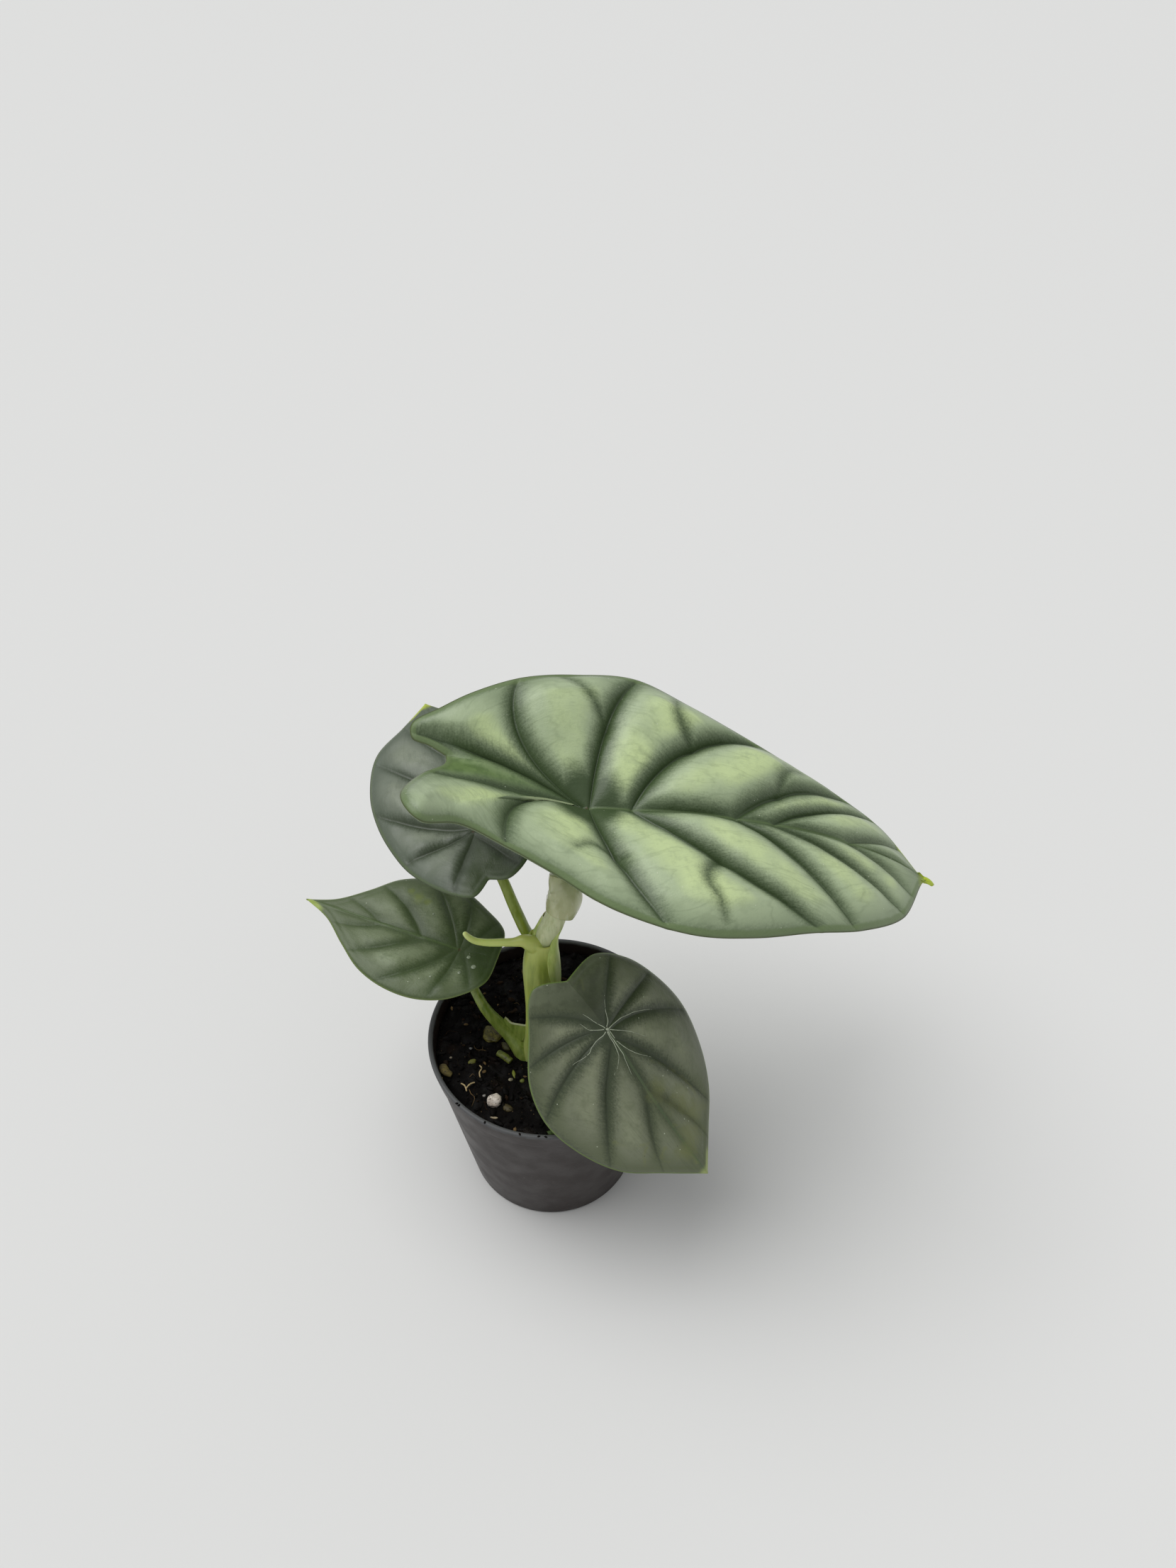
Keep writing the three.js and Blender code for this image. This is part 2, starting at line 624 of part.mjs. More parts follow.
function leafSheet(leaf) {
  const { along, across, up } = leafFrame(leaf);
  const seat = new THREE.Vector3(...leaf.seat);
  const points = [];
  const thickness = [];
  const lists = { left: veinList(leaf, leaf.left), right: veinList(leaf, leaf.right) };
  const columns = columnList(lists);
  columns.forEach(({ panel, fraction }, column) => {
    const fade = Math.min(1, Math.min(column, columns.length - 1 - column) / columnsPerPanel);
    for (let row = -leaf.rows; row <= leaf.rows; row += 1) {
      const name = row < 0 ? 'right' : 'left';
      const v = (Math.abs(row) / leaf.rows) ** rowCrowding;
      const [before, after] = lists[name].slice(panel, panel + 2);
      const { flat, height } = panelPoint(leaf, leaf[name], before, after, fraction, v);
      points.push(seat.clone()
        .addScaledVector(along, flat.x)
        .addScaledVector(across, flat.y)
        .addScaledVector(up, height));
      const veinRib = fraction === 0 ? veinThickening : 0;
      const rib = row === 0 ? midribThickening : veinRib;
      thickness.push(bladeThickness + rib * fade * (1 - v));
    }
  });
  return { points, triangles: gridTriangles(columns.length - 1, 2 * leaf.rows), thickness };
}

function leafGeometry(leaf) {
  const { points, triangles, thickness } = leafSheet(leaf);
  return thicken(points, triangles, thickness);
}

// The space a stalk's end keeps clear of: the blade near the stalk, a little deeper than it is
// thick because it slopes, with the gap below it and a few millimetres above it.
function leafClearance(leaf) {
  const { points, triangles, thickness } = leafSheet(leaf);
  const seat = new THREE.Vector3(...leaf.seat);
  const { up } = leafFrame(leaf);
  const near = triangles.filter((triangle) => (
    triangle.every((index) => points[index].distanceTo(seat) < clearReach)));
  const sheet = weld(points, near);
  const depth = weldedThickness(sheet, thickness);
  const over = sheet.points.map((point) => point.clone().addScaledVector(up, clearHeadroom));
  const under = sheet.points.map((point, index) => point.clone()
    .addScaledVector(up, -clearDepth * depth[index] - seatGap));
  return slab(over, under, sheet.triangles);
}

// Putting it together

const materials = {
  plastic: new THREE.MeshStandardMaterial({ color: 0x4a4644, roughness: 0.55, metalness: 0 }),
  peat: new THREE.MeshStandardMaterial({ color: 0x17120f, roughness: 0.95, metalness: 0 }),
  perlite: new THREE.MeshStandardMaterial({ color: 0xd8cfc4, roughness: 0.9, metalness: 0 }),
  bark: new THREE.MeshStandardMaterial({ color: 0x7a6236, roughness: 0.9, metalness: 0 }),
  sheathGreen: new THREE.MeshStandardMaterial({ color: 0x9bab56, roughness: 0.5, metalness: 0 }),
  stalkGreen: new THREE.MeshStandardMaterial({ color: 0x6a7d22, roughness: 0.45, metalness: 0 }),
  skin: new THREE.MeshStandardMaterial({ color: 0xa9a886, roughness: 0.4, metalness: 0 }),
  silver: new THREE.MeshStandardMaterial({ color: 0x9fb391, roughness: 0.5, metalness: 0 }),
  shade: new THREE.MeshStandardMaterial({ color: 0x66705f, roughness: 0.5, metalness: 0 }),
};

const group = new THREE.Group();

function add(name, geometry, material) {
  const mesh = new THREE.Mesh(geometry, material);
  mesh.name = name;
  group.add(mesh);
}

// The room that each piece needs with the gap around it, which its neighbours are cut by
const bigStalkRoom = limb(bigStalk, stalkSides, seatGap);
const backStalkRoom = limb(backStalk, stalkSides, seatGap);
const leftStalkRoom = limb(leftStalk, stalkSides, seatGap);
const frontStalkRoom = limb(frontStalk, stalkSides, seatGap);
const crownRoom = crownColumn(seatGap);
const hornRoom = limb(horn, hornSides, seatGap);
const sleeveRoom = limb(sleeve, sleeveSides, seatGap);
const bitRooms = Object.values(bits).map((bit) => nugget(bit, seatGap));
const stalkRooms = [bigStalkRoom, backStalkRoom, leftStalkRoom, frontStalkRoom];
const soilRooms = [crownRoom, backStalkRoom, leftStalkRoom, frontStalkRoom, ...bitRooms];

add('pot', potGeometry(), materials.plastic);
add('soil', cut(soilGeometry(), soilRooms), materials.peat);
add('perlite_crumb', nugget(bits.perlite_crumb), materials.perlite);
add('bark_chip', nugget(bits.bark_chip), materials.bark);
add('leaf_stub', nugget(bits.leaf_stub), materials.sheathGreen);
add('withered_scale', nugget(bits.withered_scale), materials.bark);

add('crown', crownGeometry(stalkRooms), materials.sheathGreen);
const sheathRooms = [crownRoom, hornRoom, bigStalkRoom, backStalkRoom, sleeveRoom];
add('back_sheath', backSheathGeometry(sheathRooms), materials.sheathGreen);

const bigEnd = leafClearance(leaves.leaf_big);
const backEnd = leafClearance(leaves.leaf_back);
const leftEnd = leafClearance(leaves.leaf_left);
const frontEnd = leafClearance(leaves.leaf_front);
add('stalk_big', cut(limb(bigStalk, stalkSides), [bigEnd]), materials.stalkGreen);
add('stalk_back', cut(limb(backStalk, stalkSides), [backEnd]), materials.stalkGreen);
add('stalk_left', leftStalkGeometry([leftEnd, crownRoom]), materials.stalkGreen);
add('stalk_front', cut(limb(frontStalk, stalkSides), [frontEnd]), materials.stalkGreen);
add('stalk_sleeve', cut(limb(sleeve, sleeveSides), [bigStalkRoom]), materials.skin);

add('leaf_big', leafGeometry(leaves.leaf_big), materials.silver);
add('leaf_back', leafGeometry(leaves.leaf_back), materials.shade);
add('leaf_left', leafGeometry(leaves.leaf_left), materials.shade);
add('leaf_front', leafGeometry(leaves.leaf_front), materials.shade);

export default group;
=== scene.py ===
# The looks of a young silver dragon alocasia in its small nursery pot.
#
# Sizes and places of the plant are in millimetres, +Z up, from the middle of the pot's underside,
# and become metres where a mesh is made. The camera, the floor and the materials work in metres.
# Colours are written as the red, green and blue of a screen, 0 to 255.
import math

import bpy
import numpy as np
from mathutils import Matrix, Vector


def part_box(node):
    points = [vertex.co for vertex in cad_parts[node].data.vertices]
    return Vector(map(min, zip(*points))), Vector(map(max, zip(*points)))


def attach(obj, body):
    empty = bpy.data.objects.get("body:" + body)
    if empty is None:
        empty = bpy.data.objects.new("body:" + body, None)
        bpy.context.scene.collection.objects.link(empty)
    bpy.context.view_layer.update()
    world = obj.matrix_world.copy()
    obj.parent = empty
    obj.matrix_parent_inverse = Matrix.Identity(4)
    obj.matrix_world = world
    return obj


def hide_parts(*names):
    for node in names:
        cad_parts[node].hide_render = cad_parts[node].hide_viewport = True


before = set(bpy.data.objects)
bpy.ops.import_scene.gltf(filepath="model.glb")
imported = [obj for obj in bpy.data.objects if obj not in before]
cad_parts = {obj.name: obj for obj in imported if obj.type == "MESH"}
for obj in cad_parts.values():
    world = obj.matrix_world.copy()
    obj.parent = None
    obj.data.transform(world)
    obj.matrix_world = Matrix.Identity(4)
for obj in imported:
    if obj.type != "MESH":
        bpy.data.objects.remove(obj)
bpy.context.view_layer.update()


# Camera: a phone about 0.3 m away that looks down on the plant and is turned a little to the
# left. The photograph is 2212 pixels high, and the lens stands 1662 of them behind it.
photo_height = 2212
lens_distance = 1662
sensor_height = 36
camera_place = (0, -0.1776, 0.2851)
camera_turn = (48.70, -0.37, -2.49)
nearest_seen = 0.01


def add(name, data):
    """A new object around its data, linked into the scene."""
    added = bpy.data.objects.new(name, data)
    bpy.context.scene.collection.objects.link(added)
    return added


camera_data = bpy.data.cameras.new("camera")
camera_data.sensor_fit = "VERTICAL"
camera_data.sensor_height = sensor_height
camera_data.lens = sensor_height * lens_distance / photo_height
camera_data.clip_start = nearest_seen
camera = add("camera", camera_data)
camera.location = camera_place
camera.rotation_euler = [math.radians(angle) for angle in camera_turn]
bpy.context.scene.camera = camera
bpy.context.scene.view_settings.view_transform = "Standard"


# Light and floor: one broad soft light from above, a little from the left and from behind, over
# an even pale surround, and a pale floor that runs out past the picture.
sky_from = (-0.42, 0.12, 1.0)
sky_spread = 55
sky_strength = 1.75
surround_colour = (240, 241, 243)
surround_strength = 0.5
floor_half = 6.0
floor_colour = (228, 228, 226)
floor_roughness = 0.9


def paint(red, green, blue):
    """A screen colour, 0 to 255, as the linear colour and full cover that a shader takes."""
    share = np.array([red, green, blue]) / 255
    linear = np.where(share < 0.04045, share / 12.92, ((share + 0.055) / 1.055) ** 2.4)
    return (*linear.tolist(), 1)


sky_data = bpy.data.lights.new("sky", "SUN")
sky_data.energy = sky_strength
sky_data.angle = math.radians(sky_spread)
sky = add("sky", sky_data)
sky.rotation_euler = (math.atan2(math.hypot(*sky_from[:2]), sky_from[2]), 0,
                      math.atan2(sky_from[1], sky_from[0]) + math.pi / 2)

world = bpy.data.worlds.new("surround")
world.use_nodes = True
surround = world.node_tree.nodes["Background"].inputs
surround["Color"].default_value = paint(*surround_colour)
surround["Strength"].default_value = surround_strength
bpy.context.scene.world = world

floor_data = bpy.data.meshes.new("floor")
floor_corners = [(-floor_half, -floor_half, 0), (floor_half, -floor_half, 0),
                 (floor_half, floor_half, 0), (-floor_half, floor_half, 0)]
floor_data.from_pydata(floor_corners, [], [(0, 1, 2, 3)])
floor = add("floor", floor_data)
floor_paper = bpy.data.materials.new("floor_paper")
floor_paper.use_nodes = True
floor_surface = floor_paper.node_tree.nodes["Principled BSDF"].inputs
floor_surface["Base Color"].default_value = paint(*floor_colour)
floor_surface["Roughness"].default_value = floor_roughness
floor_data.materials.append(floor_paper)


# Pot: one thin-walled moulding of dark grey plastic, turned about its axis, with a collar below
# the rim, a ring and a pad to stand on, and round drain holes between them.
MM = 0.001
pot_high = np.array(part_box("pot")[1]) / MM
pot_height = pot_high[2]
rim_radius = pot_high[0]
base_radius = 21.4
pot_wall = 0.9
collar_height = 5.4
collar_proud = 0.35
rim_bevel = 0.35
pot_floor = 1.6
foot_pad = 8
foot_recess = 0.6
foot_ring = 1.8
foot_bevel = 0.5
drain_radius = 2.2
drain_circle = 13
drain_count = 6
drain_sides = 32
pot_sides = 224
edge_round = 0.3
round_steps = 4
corner_room = 2.2
rim_highlight_band = (0.0481, 0.0489)
rim_waver = 0.0009


def grid_faces(columns, rows, around=False):
    """The quads of a grid of points stored column by column, joined round if around is set."""
    spans = columns if around else columns - 1
    column, row = np.meshgrid(np.arange(spans), np.arange(rows - 1), indexing="ij")
    here = column * rows + row
    beside = (column + 1) % columns * rows + row
    return np.stack([here, beside, beside + 1, here + 1], axis=-1).reshape(-1, 4)


def skin(rings, first, last):
    """The points and faces of a closed skin: a grid of sides by rings that joins round, with one
    point more to close it at each end."""
    sides, rows = rings.shape[:2]
    points = np.concatenate([rings.reshape(-1, 3), [first, last]])
    side = np.arange(sides)
    after = (side + 1) % sides
    pole = np.full(sides, sides * rows)
    start_fan = np.stack([pole, after * rows, side * rows], axis=1)
    end_fan = np.stack([pole + 1, side * rows + rows - 1, after * rows + rows - 1], axis=1)
    return points, [grid_faces(sides, rows, around=True), start_fan, end_fan]


def heap(shapes):
    """Several shapes, each its points and its lists of faces, as one."""
    starts = np.cumsum([0] + [len(points) for points, face_sets in shapes])
    face_sets = [faces + start for start, (points, sets) in zip(starts, shapes) for faces in sets]
    return np.concatenate([points for points, sets in shapes]), face_sets


def make_mesh(name, shape):
    """A smooth-shaded mesh object from points in millimetres and lists of faces, in which each
    row holds the corners of one face."""
    points, face_sets = shape
    mesh = bpy.data.meshes.new(name)
    corners = np.concatenate([faces.ravel() for faces in face_sets])
    sizes = np.concatenate([np.full(len(faces), faces.shape[1]) for faces in face_sets])
    mesh.vertices.add(len(points))
    mesh.vertices.foreach_set("co", (np.asarray(points, float) * MM).astype(np.float32).ravel())
    mesh.loops.add(len(corners))
    mesh.loops.foreach_set("vertex_index", corners.astype(np.int32))
    mesh.polygons.add(len(sizes))
    mesh.polygons.foreach_set("loop_start", (np.cumsum(sizes) - sizes).astype(np.int32))
    mesh.polygons.foreach_set("use_smooth", np.full(len(sizes), True))
    mesh.update(calc_edges=True)
    mesh.validate()
    return add(name, mesh)


def settle(piece, kind, **settings):
    """Work one modifier into a piece's mesh."""
    modifier = piece.modifiers.new(kind, kind)
    for name, value in settings.items():
        setattr(modifier, name, value)
    shaped = piece.evaluated_get(bpy.context.evaluated_depsgraph_get())
    mesh = bpy.data.meshes.new_from_object(shaped)
    piece.modifiers.clear()
    piece.data = mesh


def fix(piece, material, node=None):
    """Give a piece its finish and its place on the plant's one body. It may stand for a node."""
    piece.data.materials.clear()
    piece.data.materials.append(material)
    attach(piece, "root")
    if node:
        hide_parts(node)


def angles_round(sides):
    """Angles in equal steps once round."""
    return np.arange(sides) / sides * 2 * math.pi


def turned(profile, sides):
    """A profile of radius and height turned about the pot's axis, from one end on the axis to
    the other."""
    angle = angles_round(sides)
    radius, height = np.array(profile[1:-1], float).T
    rings = np.stack([np.outer(np.cos(angle), radius), np.outer(np.sin(angle), radius),
                      np.tile(height, (sides, 1))], axis=-1)
    return skin(rings, [0, 0, profile[0][1]], [0, 0, profile[-1][1]])


def outer_radius(height):
    """The pot's tapered wall, without its collar."""
    return base_radius + (rim_radius - collar_proud - base_radius) * height / pot_height


def inner_radius(height):
    """The inside of the wall."""
    return outer_radius(height) - pot_wall


def quadratic(share, start, bend, end):
    """Points of the curve from start to end by way of bend, at shares from 0 to 1: the three,
    weighted by (1 - share) squared, 2 share (1 - share), and share squared."""
    return (1 - share) ** 2 * start + 2 * share * (1 - share) * bend + share ** 2 * end


def rounded(corners, radius):
    """A profile with each inner corner cut back by a radius, less where an edge is too short for
    it, and bridged by a quadratic curve."""
    corners = [np.array(corner, float) for corner in corners]
    share = np.linspace(0, 1, round_steps + 1)[:, None]
    profile = [corners[0]]
    for before, corner, after in zip(corners, corners[1:], corners[2:]):
        reach = [min(radius, np.linalg.norm(end - corner) / corner_room) for end in (before, after)]
        start = corner + (before - corner) / np.linalg.norm(before - corner) * reach[0]
        end = corner + (after - corner) / np.linalg.norm(after - corner) * reach[1]
        profile.extend(quadratic(share, start, corner, end))
    return profile + [corners[-1]]


class Shader:
    """A material under construction: most methods add one node and give back its output."""

    def __init__(self, name):
        self.material = bpy.data.materials.new(name)
        self.material.use_nodes = True
        self.nodes = self.material.node_tree.nodes
        self.links = self.material.node_tree.links
        self.surface = self.nodes["Principled BSDF"]

    def put(self, socket, value):
        """Link an output to a socket, or set its own number or, from a screen colour, its paint."""
        if isinstance(value, bpy.types.NodeSocket):
            self.links.new(value, socket)
        elif isinstance(value, tuple):
            socket.default_value = paint(*value)
        else:
            socket.default_value = value

    def set(self, **values):
        """Set or link the shader's own sockets, named with _ for a space."""
        for name, value in values.items():
            self.put(self.surface.inputs[name.replace("_", " ")], value)

    def place(self):
        """The place in the piece's own coordinates, in metres."""
        return self.nodes.new("ShaderNodeTexCoord").outputs["Object"]

    def attribute(self, name, output="Fac"):
        """A value stored at the mesh's points."""
        node = self.nodes.new("ShaderNodeAttribute")
        node.attribute_name = name
        return node.outputs[output]

    def stretch(self, vector, scale):
        """A place scaled differently along x, y and z."""
        node = self.nodes.new("ShaderNodeMapping")
        self.put(node.inputs["Vector"], vector)
        node.inputs["Scale"].default_value = scale
        return node.outputs["Vector"]

    def part(self, vector, axis):
        """One of a vector's three numbers."""
        node = self.nodes.new("ShaderNodeSeparateXYZ")
        self.put(node.inputs["Vector"], vector)
        return node.outputs[axis]

    def noise(self, vector, scale, detail=2.0, rough=0.5):
        """Cloudy noise from 0 to 1."""
        node = self.nodes.new("ShaderNodeTexNoise")
        self.put(node.inputs["Vector"], vector)
        node.inputs["Scale"].default_value = scale
        node.inputs["Detail"].default_value = detail
        node.inputs["Roughness"].default_value = rough
        return node.outputs["Fac"]

    def cells(self, vector, scale):
        """The distance to the nearest of scattered points."""
        node = self.nodes.new("ShaderNodeTexVoronoi")
        self.put(node.inputs["Vector"], vector)
        node.inputs["Scale"].default_value = scale
        return node.outputs["Distance"]

    def math(self, operation, first, second=0.0, third=0.0):
        """One sum on values."""
        node = self.nodes.new("ShaderNodeMath")
        node.operation = operation
        for socket, value in zip(node.inputs, (first, second, third)):
            self.put(socket, value)
        return node.outputs[0]

    def fit(self, value, low, high, to_low=0.0, to_high=1.0):
        """A value eased from one range to another, and held at its ends."""
        node = self.nodes.new("ShaderNodeMapRange")
        node.interpolation_type = "SMOOTHSTEP"
        for name, number in (("Value", value), ("From Min", low), ("From Max", high),
                             ("To Min", to_low), ("To Max", to_high)):
            self.put(node.inputs[name], number)
        return node.outputs["Result"]

    def mix(self, share, first, second):
        """The first colour turned into the second by a share."""
        node = self.nodes.new("ShaderNodeMix")
        node.data_type = "RGBA"
        self.put(node.inputs["Factor"], share)
        self.put(node.inputs[6], first)
        self.put(node.inputs[7], second)
        return node.outputs[2]

    def layers(self, colour, *rows):
        """A colour with others laid over it in turn. Each row is a value, the two ends of its
        range, how much of the other colour shows at each end, and that colour."""
        for value, low, high, at_low, at_high, other in rows:
            colour = self.mix(self.fit(value, low, high, at_low, at_high), colour, other)
        return colour

    def bump(self, height, depth, strength):
        """A relief from a height of 0 to 1 that stands depth metres high."""
        node = self.nodes.new("ShaderNodeBump")
        node.inputs["Strength"].default_value = strength
        node.inputs["Distance"].default_value = depth
        self.put(node.inputs["Height"], height)
        return node.outputs["Normal"]


def pot_plastic():
    """Dark warm grey matte plastic: faintly mottled, with a painted highlight along the top of the
    rim, and with sparse fine scuffs and smudges of peat."""
    shader = Shader("pot_plastic")
    place = shader.place()
    colour = shader.mix(shader.noise(place, 45, 4, 0.6), (31, 21, 18), (40, 30, 27))
    height = shader.math("MULTIPLY_ADD", shader.noise(place, 420, 3), rim_waver,
                         shader.part(place, "Z"))
    # A pale band round the top of the rim: a painted highlight.
    colour = shader.layers(colour, (height, *rim_highlight_band, 0.0, 0.75, (92, 94, 95)))
    for fine, broad, share, other in ((1300, 160, 0.3, (110, 104, 100)),
                                      (900, 70, 0.8, (30, 22, 17))):
        marks = shader.math(
            "MULTIPLY", shader.fit(shader.noise(place, fine, 4), 0.62, 0.7, 0.0, share),
            shader.fit(shader.noise(place, broad, 2), 0.56, 0.66))
        colour = shader.mix(marks, colour, other)
    rough = shader.fit(shader.noise(place, 150, 4), 0.3, 0.7, 0.4, 0.52)
    shader.set(Base_Color=colour, Roughness=rough, Specular_IOR_Level=0.35)
    shader.set(Normal=shader.bump(shader.noise(place, 1700, 3), 0.00004, 0.6))
    return shader.material


collar_foot = pot_height - collar_height
ring_inside = base_radius - foot_bevel - foot_ring
pot_profile = rounded([
    (0, 0), (foot_pad, 0), (foot_pad + foot_recess, foot_recess),
    (ring_inside - foot_recess, foot_recess), (ring_inside, 0), (base_radius - foot_bevel, 0),
    (outer_radius(foot_bevel), foot_bevel), (outer_radius(collar_foot), collar_foot),
    (outer_radius(collar_foot) + collar_proud, collar_foot + collar_proud),
    (rim_radius, pot_height - rim_bevel), (rim_radius - rim_bevel, pot_height),
    (inner_radius(pot_height) + rim_bevel, pot_height),
    (inner_radius(pot_height), pot_height - rim_bevel),
    (inner_radius(pot_floor + pot_wall), pot_floor + pot_wall),
    (inner_radius(pot_floor) - pot_wall, pot_floor), (0, pot_floor)], edge_round)

drain_turns = (np.arange(drain_count) + 0.5) / drain_count * 2 * math.pi
drain = turned([(0, -pot_floor), (drain_radius, -pot_floor), (drain_radius, 2 * pot_floor),
                (0, 2 * pot_floor)], drain_sides)
drains = make_mesh("drains", heap([
    (drain[0] + [drain_circle * math.cos(turn), drain_circle * math.sin(turn), 0], drain[1])
    for turn in drain_turns]))
pot_shell = make_mesh("pot_shell", turned(pot_profile, pot_sides))
settle(pot_shell, "BOOLEAN", operation="DIFFERENCE", solver="EXACT", object=drains)
bpy.data.objects.remove(drains)
fix(pot_shell, pot_plastic(), "pot")


# Soil: a wet, nearly black peat mix that fills the pot to just under the rim. Its top is uneven
# and crumbly, with loose crumbs and fine brown roots and fibres lying on it.
soil_top = 45.6
soil_waves = [[0.25, 0.42, 0.37, 0.9], [0.2, 0.95, -0.7, 0], [0.2, 0.63, 0.8, 1.2]]
soil_shoulder = 1.2
shoulder_reach = 2.5
soil_lumps = [[3.4, 0.5], [1.4, 0.4], [0.6, 0.22]]
soil_sides = 420
soil_rings = 136
soil_hub = 0.2
soil_wall_rings = [12, 26, 38]
wall_clearance = 0.05
crumb_count = 900
crumb_reach = 28
crumb_sizes = (-0.85, 0.45)
crumb_limits = (0.16, 1.15)
crumb_squash = ([0.8, 0.5, 0.35], [1.5, 1.0, 0.8])
crumb_dent = 0.4
crumb_tip = 0.5
crumb_rise = 0.25
fibre_count = 170
fibre_steps = 10
fibre_bend = 1.3
fibre_lengths = (1.5, 6)
fibre_lift = 0.9
fibre_radii = (0.04, 0.11)
lattice = np.random.default_rng(11).uniform(-1, 1, (40, 40, 40))


def cloud(points, size, shift=0.0):
    """Smooth noise from -1 to 1: random values at the corners of cubes of a size, blended across
    each cube with an eased share."""
    where = np.asarray(points, float) / size + shift
    low = np.floor(where).astype(int)
    part = where - low
    part = part * part * (3 - 2 * part)
    total = 0
    for corner in np.ndindex(2, 2, 2):
        weight = np.where(corner, part, 1 - part).prod(axis=-1)
        total = total + weight * lattice[tuple(np.moveaxis((low + corner) % len(lattice), -1, 0))]
    return total


def soil_height(x, y):
    """The soil's top: three slow waves, lumps of three sizes, and a fall towards the wall."""
    waves = sum(rise * np.sin(along_x * x + along_y * y + shift)
                for rise, along_x, along_y, shift in soil_waves)
    span = np.stack([x, y, 0 * x], axis=-1)
    lumps = sum(rise * cloud(span, size, size) for size, rise in soil_lumps)
    edge = inner_radius(soil_top) - np.hypot(x, y)
    return soil_top + waves + lumps - soil_shoulder * np.clip(1 - edge / shoulder_reach, 0, 1) ** 2


def soil_body():
    """The soil as one closed skin: a floor, the tapered wall, and the lumpy top in rings."""
    angle = angles_round(soil_sides)[:, None]
    wall_heights = np.array([pot_floor + wall_clearance, pot_floor + pot_wall, *soil_wall_rings])
    wall = inner_radius(wall_heights) - wall_clearance
    wall[0] -= pot_wall
    top = np.linspace(inner_radius(soil_top) - wall_clearance, soil_hub, soil_rings)
    radius = np.concatenate([wall, top])[None]
    x, y = radius * np.cos(angle), radius * np.sin(angle)
    z = soil_height(x, y)
    z[:, :len(wall)] = wall_heights
    middle = float(soil_height(np.zeros(1), np.zeros(1))[0])
    return skin(np.stack([x, y, z], axis=-1), [0, 0, wall_heights[0]], [0, 0, middle])


def ball(sides, rows):
    """A sphere of radius 1 as a grid of angle round and angle up, with a point at each pole."""
    angle = angles_round(sides)[:, None]
    rise = np.linspace(-math.pi / 2, math.pi / 2, rows + 2)[None, 1:-1]
    rings = np.stack([np.cos(angle) * np.cos(rise), np.sin(angle) * np.cos(rise),
                      np.sin(rise) + 0 * angle], axis=-1)
    return skin(rings, [0, 0, -1], [0, 0, 1])


def copies(face_sets, count, size):
    """The faces of a shape of so many points, for a count of copies stored one after another."""
    shift = (np.arange(count) * size)[:, None, None]
    return [(faces[None] + shift).reshape(-1, faces.shape[1]) for faces in face_sets]


def store(piece, name, values):
    """Keep a number or a vector at each point of a piece for its material."""
    values = np.asarray(values, np.float32)
    kind, field = ("FLOAT", "value") if values.ndim == 1 else ("FLOAT_VECTOR", "vector")
    piece.data.attributes.new(name, kind, "POINT").data.foreach_set(field, values.ravel())


def soil_crumbs():
    """Loose crumbs: small spheres, each squashed, dented by noise, turned and laid on the soil."""
    draw = np.random.default_rng(5)
    points, face_sets = ball(9, 5)
    radius = crumb_reach * np.sqrt(draw.uniform(0, 1, crumb_count))
    turn = draw.uniform(0, 2 * math.pi, crumb_count)
    x, y = radius * np.cos(turn), radius * np.sin(turn)
    size = draw.lognormal(*crumb_sizes, (crumb_count, 1)).clip(*crumb_limits)
    sizes = size * draw.uniform(*crumb_squash, (crumb_count, 3))
    dents = cloud(points[None] * 1.4 + draw.uniform(0, 30, (crumb_count, 1, 3)), 1.0)
    shape = points * (1 + crumb_dent * dents[..., None]) * sizes[:, None]
    spin, tip = draw.uniform(0, 2 * math.pi, crumb_count), draw.normal(0, crumb_tip, crumb_count)
    zero, one = np.zeros(crumb_count), np.ones(crumb_count)
    tipped = np.array([[one, zero, zero], [zero, np.cos(tip), -np.sin(tip)],
                       [zero, np.sin(tip), np.cos(tip)]])
    spun = np.array([[np.cos(spin), -np.sin(spin), zero], [np.sin(spin), np.cos(spin), zero],
                     [zero, zero, one]])
    shape = np.einsum("ijn,jkn,npk->npi", spun, tipped, shape)
    middle = np.stack([x, y, soil_height(x, y) + crumb_rise * size[:, 0]], axis=-1)
    crumbs = make_mesh("peat_crumbs", ((shape + middle[:, None]).reshape(-1, 3),
                                       copies(face_sets, crumb_count, len(points))))
    store(crumbs, "tone", np.repeat(draw.uniform(0, 1, crumb_count), len(points)))
    return crumbs


def unit(vectors):
    """Vectors brought to length 1."""
    return vectors / np.linalg.norm(vectors, axis=-1, keepdims=True)


def tubes(paths, radii, sides=6):
    """Closed round tubes along many paths at once: each path's points carry a ring of sides,
    square to the path, whose radius is given there."""
    run = unit(np.gradient(paths, axis=1))
    beside = unit(np.cross([0, 0.02, 1], run))
    above = np.cross(run, beside)
    angle = angles_round(sides)[None, :, None, None]
    rings = np.cos(angle) * beside[:, None] + np.sin(angle) * above[:, None]
    rings = rings * radii[:, None, :, None] + paths[:, None]
    return heap([skin(ring, path[0], path[-1]) for ring, path in zip(rings, paths)])


